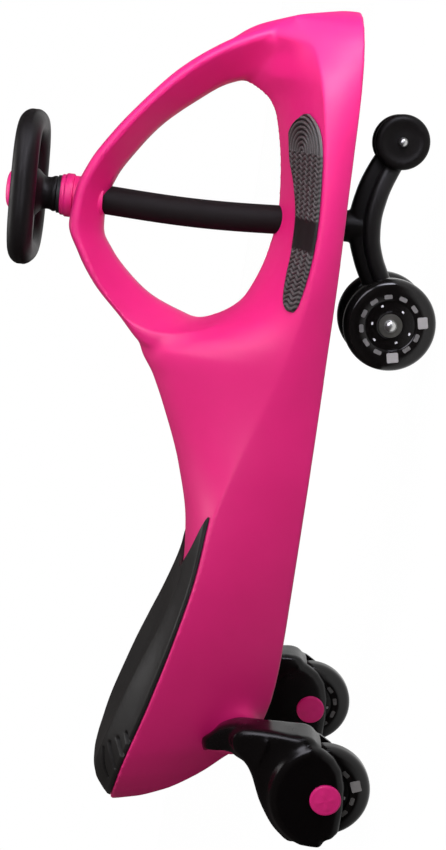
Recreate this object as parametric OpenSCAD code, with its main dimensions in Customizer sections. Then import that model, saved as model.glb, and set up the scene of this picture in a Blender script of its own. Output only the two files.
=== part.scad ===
// A ride-on wiggle car: a hollow moulded body with a handle arch, a seat and two foot pads, a raked
// steering column that carries a front arm with two wheels and two raised rollers, and two rear wheel
// housings. +X is forward, +Y is the rider's left, +Z is up, and the wheels stand on Z = 0.

/* [Body] */
// Length of the moulded body, nose to tail
body_length = 790; // [720:1:860]
// Width of the moulded body at the seat
body_w = 220; // [200:1:240]
// Height of the moulded body, underside to the top of the handle arch
body_h = 254; // [235:1:280]
// Wall of the moulded body
wall = 4; // [3:0.5:5]
// Gap between the top of the front wheels and the underside
underside_gap = 10; // [8:0.5:16]

/* [Seat and pads] */
// Bare edge of the body around the seat
seat_lip = 4; // [2:0.5:8]
// Thickness of the seat at its edge
seat_edge = 3; // [2:0.5:5]
// Height of the seat's crest above the body at the back
seat_crest = 21; // [16:1:28]
// Thickness of the foot pads
pad_t = 3; // [2:0.5:5]

/* [Steering] */
// Backward lean of the steering column, in degrees
rake = 2; // [0:0.5:3]
// Diameter of the steering column
column_d = 16; // [14:0.5:18]
// Outside diameter of the column's sleeve
sleeve_d = 27; // [25:0.5:28]
// Outside diameter of the collar on the arch
collar_d = 38; // [36:0.5:42]
// Height of the collar above the top of the arch
collar_h = 12; // [8:0.5:18]
// Length of the steering wheel's neck
neck_h = 15; // [10:0.5:24]
// Diameter of the steering wheel's neck
neck_d = 30; // [28:0.5:34]
// Length of the steering wheel, front to back
rim_l = 144; // [130:1:160]
// Distance of the steering wheel's middle ahead of the column
rim_ahead = 4; // [0:0.5:8]
// Width of the steering wheel
rim_w = 130; // [122:1:160]
// Thickness of the steering wheel's rim
grip_d = 23.5; // [21:0.5:26]
// Diameter of the cap in the steering wheel
cap_d = 38; // [36:0.5:40]
// Height of the cap above the rim
cap_h = 8.5; // [6:0.5:10]

/* [Wheels] */
// Diameter of the wheels
wheel_d = 86; // [80:1:96]
// Width of the wheels
wheel_w = 24; // [22:0.5:28]
// Thickness of the tyres, from the hub to the tread
tyre_t = 19; // [17:0.5:21]
// Outside diameter of the ball bearings
bearing_d = 22; // [20:0.5:24]
// Width of the ball bearings
bearing_w = 7; // [6:0.5:8]
// Diameter of the axles
axle_d = 8; // [6:0.5:9]
// Lugs of the hub that show in the tyre
lugs = 12; // [8:1:14]

/* [Front arm] */
// Distance of the front axle behind the steering column
trail = 82; // [76:1:90]
// Distance between the middles of the front wheels
front_track = 70; // [66:1:84]
// Depth of the arm
arm_depth = 30; // [28:0.5:34]
// Distance of the rollers ahead of the steering column
roller_reach = 84; // [78:1:96]
// Diameter of the rollers
roller_d = 51; // [44:1:54]
// Width of each roller
roller_w = 12; // [10:0.5:15]
// Height of the rollers above the ground
roller_lift = 30; // [24:1:34]

/* [Rear wheel housings] */
// Width of a rear wheel housing
fork_w = 53; // [50:0.5:60]
// Thickness of a housing's cheeks
cheek = 10; // [9:0.5:11]
// Thickness of a housing's front and top walls
fork_wall = 5; // [4:0.5:7]
// Diameter of the caps on the rear axles
axle_cap_d = 29; // [26:0.5:32]
// Height of the caps on the rear axles
axle_cap_h = 4; // [3:0.5:6]

/* [Fits and fasteners] */
// Gap between pieces that turn past each other
run_gap = 0.3; // [0.2:0.05:0.4]
// Gap around a shaft in its bore
shaft_gap = 0.1; // [0.05:0.05:0.2]
// Gap between pieces that are fixed together
fit_gap = 0.1; // [0.05:0.05:0.2]
// Gap between the moulded body and the seat or a foot pad on it
skin_gap = 0.9; // [0.85:0.05:0.95]
// Diameter of the screws
screw_d = 4; // [3:0.5:5]
// Diameter of the bolts that hold the rear housings
bolt_d = 6; // [5:0.5:8]

/* [Hidden] */
$fn = 48;
// Depth by which cuts run past the faces that they open
overrun = 5;
// Sides of a nut or of a bolt head
hex_sides = 6;

// Places along the car
rear_axle_share = 0.11;
steer_share = 0.753;
underside_z = wheel_d + underside_gap;
axle_z = wheel_d / 2;
rear_x = along(rear_axle_share);
steer_x = along(steer_share);
front_x = steer_x - trail;

// Outlines of the body from the tail at 0 to the nose at 1, in shares of its length, height and half width
// Height of the side crease, which runs on as the seat's lip
crease_height_shares = [
    [0, 0.551], [0.035, 0.551], [0.075, 0.539], [0.18, 0.461], [0.257, 0.406], [0.333, 0.358],
    [0.405, 0.327], [0.448, 0.292], [0.529, 0.213], [0.578, 0.169], [0.625, 0.138], [0.672, 0.118],
    [0.741, 0.110], [0.816, 0.126], [0.884, 0.161], [0.939, 0.207], [0.957, 0.235], [0.970, 0.270],
    [0.980, 0.300], [0.991, 0.200], [1, 0.110]
];
// Half width of the side crease
crease_width_shares = [
    [0, 0.03], [0.012, 0.22], [0.03, 0.47], [0.055, 0.74], [0.085, 0.91], [0.12, 0.98], [0.186, 1],
    [0.237, 1], [0.313, 0.955],
    [0.363, 0.88], [0.438, 0.78], [0.525, 0.72], [0.623, 0.78], [0.699, 0.864], [0.783, 0.90],
    [0.844, 0.88], [0.884, 0.83], [0.92, 0.72], [0.957, 0.52], [0.980, 0.35], [0.991, 0.28], [1, 0.24]
];
// Height of the middle line: seat deck, saddle, floor of the opening and prow
ridge_height_shares = [
    [0, 0.556], [0.035, 0.563], [0.075, 0.551], [0.18, 0.473], [0.257, 0.420], [0.313, 0.406],
    [0.37, 0.421], [0.443, 0.480], [0.514, 0.570], [0.548, 0.622], [0.582, 0.682], [0.597, 0.615],
    [0.619, 0.457], [0.634, 0.378], [0.654, 0.323], [0.711, 0.264], [0.755, 0.248], [0.801, 0.260],
    [0.868, 0.307], [0.885, 0.339], [0.898, 0.400], [0.913, 0.530], [0.927, 0.575], [0.944, 0.520],
    [0.966, 0.430], [0.980, 0.325], [0.991, 0.217], [1, 0.140]
];
// Height of the underside
keel_height_shares = [
    [0, 0.540], [0.015, 0.485], [0.037, 0.390], [0.052, 0.323], [0.081, 0.215], [0.0975, 0.165],
    [0.13, 0.068], [0.16, 0.026], [0.195, 0.007], [0.24, 0], [0.49, 0.002], [0.648, 0.012], [0.816, 0.030],
    [0.914, 0.038], [0.99, 0.062], [1, 0.068]
];
// Half width of the underside
keel_width_shares = [
    [0, 0.02], [0.012, 0.16], [0.03, 0.34], [0.055, 0.46], [0.11, 0.54], [0.186, 0.60], [0.3, 0.66],
    [0.438, 0.66], [0.525, 0.64], [0.623, 0.70], [0.7, 0.78], [0.783, 0.82], [0.844, 0.81], [0.884, 0.78],
    [0.92, 0.72], [0.957, 0.64], [0.980, 0.53], [0.991, 0.42], [1, 0.30]
];
// Power of the roof's curve from the crease to the middle line: 1 is a straight slope, more is rounder
// and less is hollow
roof_powers = [
    [0, 2], [0.3, 1.6], [0.36, 1.9], [0.45, 2.8], [0.545, 3.8], [0.585, 3.5], [0.603, 3.3], [0.62, 2.9],
    [0.63, 2.6], [0.645, 2], [0.66, 1.6], [0.69, 1.2], [0.72, 1], [0.83, 1], [0.86, 0.95], [0.885, 0.73],
    [0.9, 0.5], [0.92, 0.42], [0.935, 0.45], [0.945, 0.7], [0.957, 1.5], [0.97, 2], [1, 2]
];
// Stations of the body's sections, closer where the outline turns fast
hull_station_shares = [
    0, 0.005, 0.012, 0.02, 0.025, 0.03, 0.042, 0.055, 0.08, 0.11, 0.15, 0.2, 0.25, 0.29, 0.313, 0.33,
    0.345, 0.36, 0.375, 0.39, 0.405, 0.435, 0.465, 0.495, 0.52, 0.545, 0.565, 0.582, 0.592, 0.602,
    0.612, 0.622, 0.634, 0.648, 0.664, 0.685, 0.71, 0.74, 0.77, 0.8, 0.83, 0.855, 0.872, 0.886, 0.897,
    0.905, 0.914, 0.926, 0.936, 0.947, 0.957, 0.970, 0.980, 0.991, 1
];
cavity_station_shares = [
    0.055, 0.08, 0.12, 0.2, 0.29, 0.345, 0.405, 0.465, 0.52, 0.56, 0.585, 0.602, 0.622, 0.648, 0.685, 0.74,
    0.8, 0.855, 0.886, 0.905, 0.926, 0.944, 0.962
];
// Places on a section: down the skirt, and in from the crease over the roof
skirt_shares = [0.3, 0.6, 0.85];
roof_shares = [0.06, 0.14, 0.24, 0.37, 0.52, 0.72];
// Swell of the skirt, as a share of the body's half width
skirt_swell_share = 0.03;
keel_mid_share = 0.5;

// Handle arch, from the prow over the collar to the saddle: [station, height] of its outer and inner lines
arch_outer_shares = [
    [0.976, 0.315], [0.956, 0.458], [0.933, 0.572], [0.903, 0.684], [0.862, 0.794], [0.824, 0.882],
    [0.785, 0.954], [0.749, 0.992], [0.713, 1], [0.679, 0.952], [0.646, 0.880], [0.614, 0.777],
    [0.582, 0.669], [0.575, 0.580], [0.585, 0.480]
];
arch_inner_shares = [
    [0.927, 0.299], [0.908, 0.409], [0.894, 0.508], [0.872, 0.598], [0.838, 0.713], [0.806, 0.787],
    [0.771, 0.850], [0.739, 0.878], [0.709, 0.874], [0.685, 0.831], [0.660, 0.756], [0.638, 0.661],
    [0.623, 0.535], [0.617, 0.465], [0.624, 0.410]
];
// Half width of the arch at the same places, as a share of the body's half width
arch_width_shares = [
    0.30, 0.34, 0.36, 0.373, 0.373, 0.364, 0.345, 0.33, 0.33, 0.345, 0.37, 0.395, 0.42, 0.435, 0.43
];
// Depth of the arch's upright sides at the same places, as a share of its whole depth
arch_side_shares = [
    0.28, 0.26, 0.26, 0.28, 0.3, 0.32, 0.32, 0.32, 0.32, 0.30, 0.22, 0.15, 0.5, 0.86, 0.95
];
// Half of the arch's section, [share of the half width, share of the depth]: its top edge, its sides, where
// the depth is a share of the sides' depth, and its tapering underside, where it is a share of the rest
arch_top_shares = [[0.45, 0.005], [0.8, 0.03], [0.95, 0.10]];
arch_flank_shares = [[1, 0.6], [0.98, 1]];
arch_under_shares = [[0.3, 0.88], [0.15, 0.98]];
// Steps between two places on the arch
arch_steps = 3;
arch_cavity_steps = 2;

// Seat: stations, and thickness at the crest and in the middle as shares of the highest crest
seat_station_shares = [
    0.025, 0.03, 0.042, 0.055, 0.08, 0.11, 0.15, 0.2, 0.25, 0.29, 0.313, 0.33, 0.345, 0.36, 0.375, 0.39, 0.405
];
seat_crest_shares = [
    [0, 0.12], [0.015, 0.24], [0.035, 0.62], [0.06, 0.9], [0.085, 1], [0.16, 0.95], [0.22, 0.78],
    [0.27, 0.54], [0.313, 0.36], [0.355, 0.22], [0.41, 0.12]
];
seat_middle_shares = [
    [0, 0.12], [0.015, 0.24], [0.035, 0.58], [0.075, 0.66], [0.12, 0.42], [0.2, 0.26], [0.27, 0.18],
    [0.41, 0.12]
];
// Places across the seat, as shares of the half width, and the place of its crest
seat_across_shares = [0, 0.2, 0.4, 0.58, 0.68, 0.8];
seat_crest_share = 0.66;
seat_middle_share = 0.25;
seat_dish_share = 0.2;
// Tip of the body's tongue in the seat, and the front ends of the seat's prongs
tongue_share = 0.297;
prong_share = 0.405;
// Places of the seat's screws: station, and share of the half width
seat_screw_shares = [[0.09, 0.6], [0.23, 0.62]];

// Foot pads: [station, inner edge, outer edge], edges as shares of the body's half width
pad_plan_shares = [
    [0.653, 0.70, 0.745], [0.660, 0.64, 0.768], [0.676, 0.573, 0.792], [0.70, 0.505, 0.822],
    [0.73, 0.452, 0.848], [0.763, 0.418, 0.860], [0.794, 0.342, 0.862], [0.827, 0.235, 0.855],
    [0.849, 0.237, 0.825], [0.862, 0.325, 0.765], [0.870, 0.44, 0.675], [0.875, 0.53, 0.585]
];
pad_across_shares = [0, 0.25, 0.5, 0.75, 1];
pad_peg_shares = [[0.69, 0.67], [0.83, 0.54]];
pad_peg_d = 6;
pad_peg_h = 9;

// Underside cover
pan_from_share = 0.2;
pan_to_share = 0.96;
pan_t = 4;
pan_steps = 28;
pan_screw_shares = [0.23, 0.45, 0.6, 0.9];
boss_d = 11;
boss_h = 34;
boss_in = 0.5;
// Gap of a flat boss from the sloping cover
slope_gap = 0.8;
// Head of a screw, as shares of its diameter: width and height
screw_head_shares = [2, 0.6];
screw_head_d = screw_head_shares[0] * screw_d;
screw_head_h = screw_head_shares[1] * screw_d;
screw_grip = 10;
seat_boss_h = 14;

// Steering, as distances along the column from the level of the underside
bush_wall = 4;
bush_d = column_d + 2 * bush_wall;
collar_margin = 1.5;
bush_flange_d = collar_d - 2 * collar_margin;
bush_flange_t = 3;
bush_l = 22;
thrust_t = 2;
post_wall = 4;
post_d = sleeve_d + 2 * post_wall;
post_end = body_h * smooth(keel_height_shares, steer_share);
floor_h = body_h * smooth(ridge_height_shares, steer_share);
post_margin = 2;
post_top = floor_h - wall - post_margin;
collar_top = body_h + collar_h;
bush_ledge = 6;
collar_from = collar_top - bush_l - bush_ledge;
arm_top = post_end - bush_flange_t - run_gap - thrust_t;
sleeve_from = post_end + bush_l + bush_ledge;
sleeve_to = collar_from - fit_gap;
sleeve_play = 1;
sleeve_bore_d = column_d + 2 * sleeve_play;
hub_from = collar_top + bush_flange_t + run_gap;
rim_h = hub_from + neck_h + grip_d / 2;
hub_top = rim_h + grip_d / 2;
cap_margin = 3;
hub_boss_d = cap_d + 2 * cap_margin;
rim_corner = 34;
spoke_w = 32;
spoke_t = 13;
shoulder = 2;
thread_d = column_d - 2 * shoulder;
thread_over = 1;
column_nut_shares = [1.5, 0.55];
nut_across = column_nut_shares[0] * thread_d;
nut_h = column_nut_shares[1] * thread_d;
nut_room_share = 1.35;
nut_room_d = nut_room_share * nut_across;
nut_cover = 3;
nut_room_h = nut_h + nut_cover;
nut_seat_t = 6;
top_shoulder = hub_top - nut_room_h;
column_top = top_shoulder + nut_h + thread_over;
bottom_seat = arm_top - arm_depth + nut_room_h;
bottom_shoulder = bottom_seat + nut_seat_t;
column_bottom = bottom_seat - nut_h - thread_over;
cap_plug_t = 3;
cap_plug_h = 2.5;
cap_edge_h = 1.5;
cap_rings = 8;
cap_flat_share = 0.5;

// Wheels and axles
hub_d = wheel_d - 2 * tyre_t;
tyre_round = 8;
lug_w = 8;
lug_reach = 6;
// Ring of lights between the bearing and the edge of the hub, and the width of a light in that ring
light_ring_shares = [0.23, 0.846];
light_in_d = mix(bearing_d, hub_d, light_ring_shares[0]);
light_out_d = mix(bearing_d, hub_d, light_ring_shares[1]);
light_width_share = 0.25;
light_w = light_width_share * (light_out_d - light_in_d);
light_depth = 4;
light_board_t = 1.6;
lights = 4;
bearing_race = 2;
bearing_dish = 0.5;
magnet_margin = 2;
magnet_d = bearing_d - 2 * magnet_margin;
hub_lip = 1;
spacer_wall = 2;
spacer_d = axle_d + 2 * spacer_wall;
front_spacer_t = 3;
washer_t = 1.6;
// Sizes of a hexagon head and nut, as shares of the thread: across the flats, head height, nut height
hexagon_shares = [1.625, 0.66, 0.8];
head_across = hexagon_shares[0] * axle_d;
head_h = hexagon_shares[1] * axle_d;
axle_nut_h = hexagon_shares[2] * axle_d;

// Front arm, about the steering column at the level of the underside
arm_w = front_track - wheel_w - 2 * (front_spacer_t + run_gap);
arm_boss_d = 38;
pivot_z = arm_top - arm_depth / 2;
axle_boss_d = 30;
axle_drop = axle_z - underside_z;
roller_drop = roller_lift + roller_d / 2 - underside_z;
tongue_w = 15;
tongue_d = 26;
shoulder_share = 0.2;
roller_round = 5;
roller_dish = 2.5;
roller_rim = 7;
roller_boss_d = 16;

// Rear wheel housings, about the rear axle
fork_inner_share = 0.82;
fork_inner_y = fork_inner_share * body_w / 2;
rear_y = fork_inner_y + fork_w / 2;
fork_inside = fork_w - 2 * cheek;
// Side outline in shares of the wheel's radius
fork_outline_shares = [
    [0.28, -0.30], [-0.70, -0.35], [-0.98, -0.20], [-1.05, 0.40], [-0.88, 0.88], [-0.30, 1.33],
    [0.36, 1.72], [0.86, 1.90], [1.20, 1.72], [1.28, 1.20], [1.20, 0.50], [0.95, -0.05]
];
fork_steps = 4;
wheel_room = 3;
rear_open_share = 0.7;
front_open_share = 0.35;
// The pad on the body that a housing is bolted to, and the housing's shoulder below it
fork_pad_shares = [0.70, 2.14];
fork_pad_d = 44;
fork_pad_in = 31;
fork_pad_t = 6;
fork_shoulder_shares = [1.05, 1.50];
fork_shoulder_d = 40;
bolt_spread = 11;
bolt_grip = 14;
bolt_head_across = hexagon_shares[0] * bolt_d;
bolt_head_h = hexagon_shares[1] * bolt_d;
cap_room_d = 22;
cap_room_h = 7;

pink = "#e23a94";
black = "#26262a";
grey = "#4a4a50";
steel = "#b8bcc2";
white = "#f2f2f4";

// Curves through tables of [place, value]
function mix(a, b, t) = a + (b - a) * t;
function rise(p, i) = (p[i + 1][1] - p[i][1]) / (p[i + 1][0] - p[i][0]);
function blend_rise(a, b) = a * b <= 0 ? 0 : 2 * a * b / (a + b);
function tangent(p, i) =
    i == 0 ? rise(p, 0)
    : i == len(p) - 1 ? rise(p, i - 1)
    : blend_rise(rise(p, i - 1), rise(p, i));
function gap_at(p, x, i = 0) = i >= len(p) - 2 || x < p[i + 1][0] ? i : gap_at(p, x, i + 1);
function smooth(p, x) =
    let (
        i = gap_at(p, x),
        h = p[i + 1][0] - p[i][0],
        t = min(1, max(0, (x - p[i][0]) / h)),
        t2 = t * t,
        t3 = t2 * t
    )
    (2 * t3 - 3 * t2 + 1) * p[i][1] + (t3 - 2 * t2 + t) * h * tangent(p, i)
    + (3 * t2 - 2 * t3) * p[i + 1][1] + (t3 - t2) * h * tangent(p, i + 1);
function column_of(list, k) = [for (i = [0 : len(list) - 1]) [i, list[i][k]]];
function numbered(list) = [for (i = [0 : len(list) - 1]) [i, list[i]]];

// Sizes of the body at a station
function along(share) = (share - 0.5) * body_length;
function level(share) = underside_z + share * body_h;
function half_width(share) = share * body_w / 2;
function crease_y(s) = half_width(smooth(crease_width_shares, s));
function crease_z(s) = level(smooth(crease_height_shares, s));
function ridge_z(s) = level(smooth(ridge_height_shares, s));
function keel_y(s) = half_width(smooth(keel_width_shares, s));
function keel_z(s) = level(smooth(keel_height_shares, s));
function roof_z(s, y) =
    mix(crease_z(s), ridge_z(s), 1 - pow(min(1, abs(y) / crease_y(s)), smooth(roof_powers, s)));

// Half of the body's section from the bottom to the top, then the whole ring
function skirt_point(s, t) =
    let (swell = half_width(skirt_swell_share) * 4 * t * (1 - t) * crease_y(s) * 2 / body_w)
    [mix(keel_y(s), crease_y(s), t) + swell, mix(keel_z(s), crease_z(s), t)];
function roof_point(s, u) = let (y = crease_y(s) * (1 - u)) [y, roof_z(s, y)];
function hull_half(s) = concat(
    [[keel_y(s) * keel_mid_share, keel_z(s)], [keel_y(s), keel_z(s)]],
    [for (t = skirt_shares) skirt_point(s, t)],
    [[crease_y(s), crease_z(s)]],
    [for (u = roof_shares) roof_point(s, u)]
);
function reversed(list) = [for (i = [len(list) - 1 : -1 : 0]) list[i]];
function whole_ring(half, bottom, top) = concat(
    [bottom], half, [top],
    [for (p = reversed(half)) [-p[0], p[1]]]
);
function hull_ring(s) = whole_ring(hull_half(s), [0, keel_z(s)], [0, ridge_z(s)]);

// A ring moved inwards by d, with its sharp corners held back
mitre_share = 0.4;
function inward(a, b) = let (e = (b - a) / norm(b - a)) [-e[1], e[0]];
function inset(ring, d) =
    let (n = len(ring))
    [for (i = [0 : n - 1])
        let (
            n1 = inward(ring[(i + n - 1) % n], ring[i]),
            n2 = inward(ring[i], ring[(i + 1) % n])
        )
        ring[i] + d * (n1 + n2) / max(mitre_share, 1 + n1 * n2)];
function at_station(s, ring) = [for (p = ring) [along(s), p[0], p[1]]];

// A solid through rings of equal length, in order along the solid
module loft(rings) {
    n = len(rings[0]);
    last = (len(rings) - 1) * n;
    sides = [
        for (i = [0 : len(rings) - 2], j = [0 : n - 1])
            let (a = i * n + j, b = i * n + (j + 1) % n)
            each [[a, a + n, b], [b, a + n, b + n]]
    ];
    ends = [
        [for (j = [0 : n - 1]) j],
        [for (j = [n - 1 : -1 : 0]) last + j]
    ];
    polyhedron([for (r = rings) each r], concat(sides, ends));
}

// A ring of the arch at place t, moved inwards by d
function arch_ring(t, d) =
    let (
        top = [smooth(column_of(arch_outer_shares, 0), t), smooth(column_of(arch_outer_shares, 1), t)],
        low = [smooth(column_of(arch_inner_shares, 0), t), smooth(column_of(arch_inner_shares, 1), t)],
        outer = [along(top[0]), level(top[1])],
        inner = [along(low[0]), level(low[1])],
        w = half_width(smooth(numbered(arch_width_shares), t)),
        depth = norm(inner - outer),
        down = (inner - outer) / depth,
        side = smooth(numbered(arch_side_shares), t),
        shares = concat(
            arch_top_shares,
            [for (p = arch_flank_shares) [p[0], p[1] * side]],
            [for (p = arch_under_shares) [p[0], mix(side, 1, p[1])]]
        ),
        half = [for (p = reversed(shares)) [p[0] * w, -p[1] * depth]],
        ring = whole_ring(half, [0, -depth], [0, 0])
    )
    [for (p = inset(ring, d)) [outer[0] - p[1] * down[0], p[0], outer[1] - p[1] * down[1]]];
function arch_rings(steps, d) =
    let (last = len(arch_outer_shares) - 1)
    [for (i = [last * steps : -1 : 0]) arch_ring(i / steps, d)];

// Places and turns
module on_column() {
    translate([steer_x, 0, underside_z]) rotate([0, -rake, 0]) children();
}
module on_wheel(place, side) {
    translate(place) rotate([-90 * side, 0, 0]) children();
}
module in_side_view(width) {
    rotate([90, 0, 0]) linear_extrude(width, center = true) children();
}
module both_sides() {
    children();
    mirror([0, 1, 0]) children();
}
module tube(outer, inner, height) {
    difference() {
        cylinder(d = outer, h = height);
        translate([0, 0, -overrun]) cylinder(d = inner, h = height + 2 * overrun);
    }
}
module hex(across, height) {
    cylinder(d = across / cos(180 / hex_sides), h = height, $fn = hex_sides);
}
function front_place(side) = [front_x, side * front_track / 2, axle_z];
function rear_place(side) = [rear_x, side * rear_y, axle_z];
function fork_point(share) = [rear_x + share[0] * wheel_d / 2, axle_z + share[1] * wheel_d / 2];
fork_pad = fork_point(fork_pad_shares);
fork_shoulder = fork_point(fork_shoulder_shares);
fork_pad_turn = 60;

// Body
module hollow_moulding() {
    difference() {
        union() {
            loft([for (s = hull_station_shares) at_station(s, hull_ring(s))]);
            loft(arch_rings(arch_steps, 0));
        }
        loft([for (s = cavity_station_shares) at_station(s, inset(hull_ring(s), wall))]);
        loft(arch_rings(arch_cavity_steps, wall));
        pan_solid(0, overrun, wall + overrun);
    }
}
// The underside cover's solid, grown by a gap all round and past its faces
module pan_solid(gap, below, above) {
    loft([
        for (i = [0 : pan_steps])
            let (
                s = mix(pan_from_share, pan_to_share, i / pan_steps),
                x = along(s) + (i == 0 ? gap : i == pan_steps ? -gap : 0),
                y = keel_y(s) - wall - gap,
                low = keel_z(s) - below,
                high = keel_z(s) + above
            )
            [[x, -y, low], [x, y, low], [x, y, high], [x, -y, high]]
    ]);
}
module at_pan_screws(height) {
    both_sides() for (s = pan_screw_shares)
        translate([along(s), keel_y(s) - wall - boss_d / 2 + boss_in, keel_z(s) + height]) children();
}
module at_seat_screws(height) {
    both_sides() for (p = seat_screw_shares)
        let (y = p[1] * crease_y(p[0]))
        translate([along(p[0]), y, roof_z(p[0], y) + height]) children();
}
module at_pegs(side, height) {
    for (p = pad_peg_shares)
        let (y = p[1] * body_w / 2)
        translate([along(p[0]), side * y, roof_z(p[0], y) + height]) children();
}
module at_fork_bolts() {
    for (k = [-1, 1])
        translate([fork_pad[0] + k * bolt_spread * cos(fork_pad_turn), 0,
                   fork_pad[1] - k * bolt_spread * sin(fork_pad_turn)])
            rotate([-90, 0, 0]) children();
}
module body_shell() color(pink) difference() {
    union() {
        resize([body_length, 0, 0]) hollow_moulding();
        on_column() {
            translate([0, 0, post_end]) cylinder(d = post_d, h = post_top - post_end);
            translate([0, 0, collar_from]) cylinder(d = collar_d, h = collar_top - collar_from);
        }
        both_sides() translate([fork_pad[0], fork_inner_y - fork_pad_in, fork_pad[1]])
            rotate([-90, 0, 0]) cylinder(d = fork_pad_d, h = fork_pad_in);
        at_pan_screws(pan_t + slope_gap) cylinder(d = boss_d, h = boss_h);
        at_seat_screws(-wall / 2 - seat_boss_h) cylinder(d = boss_d, h = seat_boss_h);
    }
    on_column() {
        translate([0, 0, post_end - overrun]) cylinder(d = sleeve_bore_d, h = collar_top);
        translate([0, 0, post_end - overrun]) cylinder(d = bush_d + 2 * fit_gap, h = bush_l + overrun);
        translate([0, 0, sleeve_from - fit_gap])
            cylinder(d = sleeve_d + 2 * fit_gap, h = collar_from - sleeve_from + fit_gap);
        translate([0, 0, collar_top - bush_l]) cylinder(d = bush_d + 2 * fit_gap, h = bush_l + overrun);
    }
    both_sides() translate([0, fork_inner_y - fork_pad_in - overrun, 0])
        at_fork_bolts() cylinder(d = bolt_d + 2 * fit_gap, h = fork_pad_in + 2 * overrun);
    at_pan_screws(0) cylinder(d = screw_d + 2 * fit_gap, h = pan_t + screw_grip + thread_over);
    at_seat_screws(-seat_boss_h - wall) cylinder(d = screw_d + 2 * fit_gap, h = seat_boss_h + wall + overrun);
    for (side = [-1, 1]) at_pegs(side, -pad_peg_h - overrun)
        cylinder(d = pad_peg_d + 2 * fit_gap, h = pad_peg_h + 2 * overrun);
}

module underside_pan() color(black) difference() {
    pan_solid(run_gap, 0, pan_t);
    on_column() translate([0, 0, post_end - 2 * overrun]) cylinder(d = post_d + 2 * run_gap, h = 4 * overrun);
    at_pan_screws(-overrun) {
        cylinder(d = screw_d + 2 * fit_gap, h = pan_t + 2 * overrun);
        cylinder(d = screw_head_d + 2 * fit_gap, h = overrun + screw_head_h + fit_gap);
    }
}
module screw(shank) {
    translate([0, 0, -screw_head_h]) cylinder(d = screw_head_d, h = screw_head_h);
    cylinder(d = screw_d, h = shank);
}
module pan_screws() color(steel) at_pan_screws(screw_head_h) screw(pan_t + screw_grip - screw_head_h);
module seat_screws() color(steel) at_seat_screws(-wall / 2 - seat_boss_h)
    screw(seat_boss_h + wall / 2 + screw_grip);

// Seat
function seat_edge_y(s) = crease_y(s) - seat_lip;
function seat_thick(s, q) =
    let (
        crest = seat_crest * smooth(seat_crest_shares, s),
        middle = seat_crest * smooth(seat_middle_shares, s),
        edge = min(seat_edge, crest)
    )
    smooth([
        [0, middle],
        [seat_middle_share, mix(middle, crest, seat_dish_share)],
        [seat_crest_share, crest],
        [1, edge]
    ], q);
function seat_ring(s) =
    let (
        w = seat_edge_y(s),
        low = [for (q = concat([for (i = [1 : len(seat_across_shares) - 1]) seat_across_shares[i]], [1]))
            [q * w, roof_z(s, q * w) + skin_gap]],
        high = [for (p = reversed(low)) [p[0], p[1] + seat_thick(s, p[0] / w)]]
    )
    whole_ring(concat(low, high), [0, ridge_z(s) + skin_gap], [0, ridge_z(s) + skin_gap + seat_thick(s, 0)]);
module seat_pad() color(black) difference() {
    loft([for (s = seat_station_shares) at_station(s, seat_ring(s))]);
    linear_extrude(2 * level(1)) polygon([
        [along(tongue_share), 0],
        [along(prong_share), -crease_y(prong_share)],
        [along(prong_share) + overrun, -crease_y(prong_share)],
        [along(prong_share) + overrun, crease_y(prong_share)],
        [along(prong_share), crease_y(prong_share)]
    ]);
    at_seat_screws(-overrun) cylinder(d = screw_d + 2 * fit_gap, h = screw_grip + overrun + thread_over);
}

// Foot pads
function pad_strip(p, side, lift) =
    [for (q = pad_across_shares)
        let (y = half_width(mix(p[1], p[2], q)))
        [along(p[0]), side * y, roof_z(p[0], y) + lift]];
function pad_ring(p, side) =
    let (low = pad_strip(p, side, skin_gap), high = pad_strip(p, side, skin_gap + pad_t))
    side > 0 ? concat(low, reversed(high)) : concat(reversed(low), high);
module foot_pad(side) color(black) {
    loft([for (p = pad_plan_shares) pad_ring(p, side)]);
    at_pegs(side, -pad_peg_h) cylinder(d = pad_peg_d, h = pad_peg_h + pad_t / 2);
}

// Steering column
module bush() {
    tube(bush_d, column_d + 2 * shaft_gap, bush_l);
    translate([0, 0, -bush_flange_t]) tube(bush_flange_d, column_d + 2 * shaft_gap, bush_flange_t);
}
module lower_bush() color(black) on_column() translate([0, 0, post_end]) bush();
module upper_bush() color(black) on_column() translate([0, 0, collar_top]) mirror([0, 0, 1]) bush();
module column_sleeve() color(black) on_column() translate([0, 0, sleeve_from])
    tube(sleeve_d, sleeve_bore_d, sleeve_to - sleeve_from);
module steering_column() color(steel) on_column() {
    translate([0, 0, bottom_shoulder]) cylinder(d = column_d, h = top_shoulder - bottom_shoulder);
    translate([0, 0, column_bottom]) cylinder(d = thread_d, h = column_top - column_bottom);
}
module nut(across, bore, height) {
    difference() {
        hex(across, height);
        translate([0, 0, -overrun]) cylinder(d = bore + 2 * fit_gap, h = height + 2 * overrun);
    }
}
module column_top_nut() color(steel) on_column() translate([0, 0, top_shoulder])
    nut(nut_across, thread_d, nut_h);
module column_bottom_nut() color(steel) on_column() translate([0, 0, bottom_seat - nut_h])
    nut(nut_across, thread_d, nut_h);
module thrust_washer() color(white) on_column() translate([0, 0, arm_top])
    tube(bush_flange_d, column_d + 2 * fit_gap, thrust_t);

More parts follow.
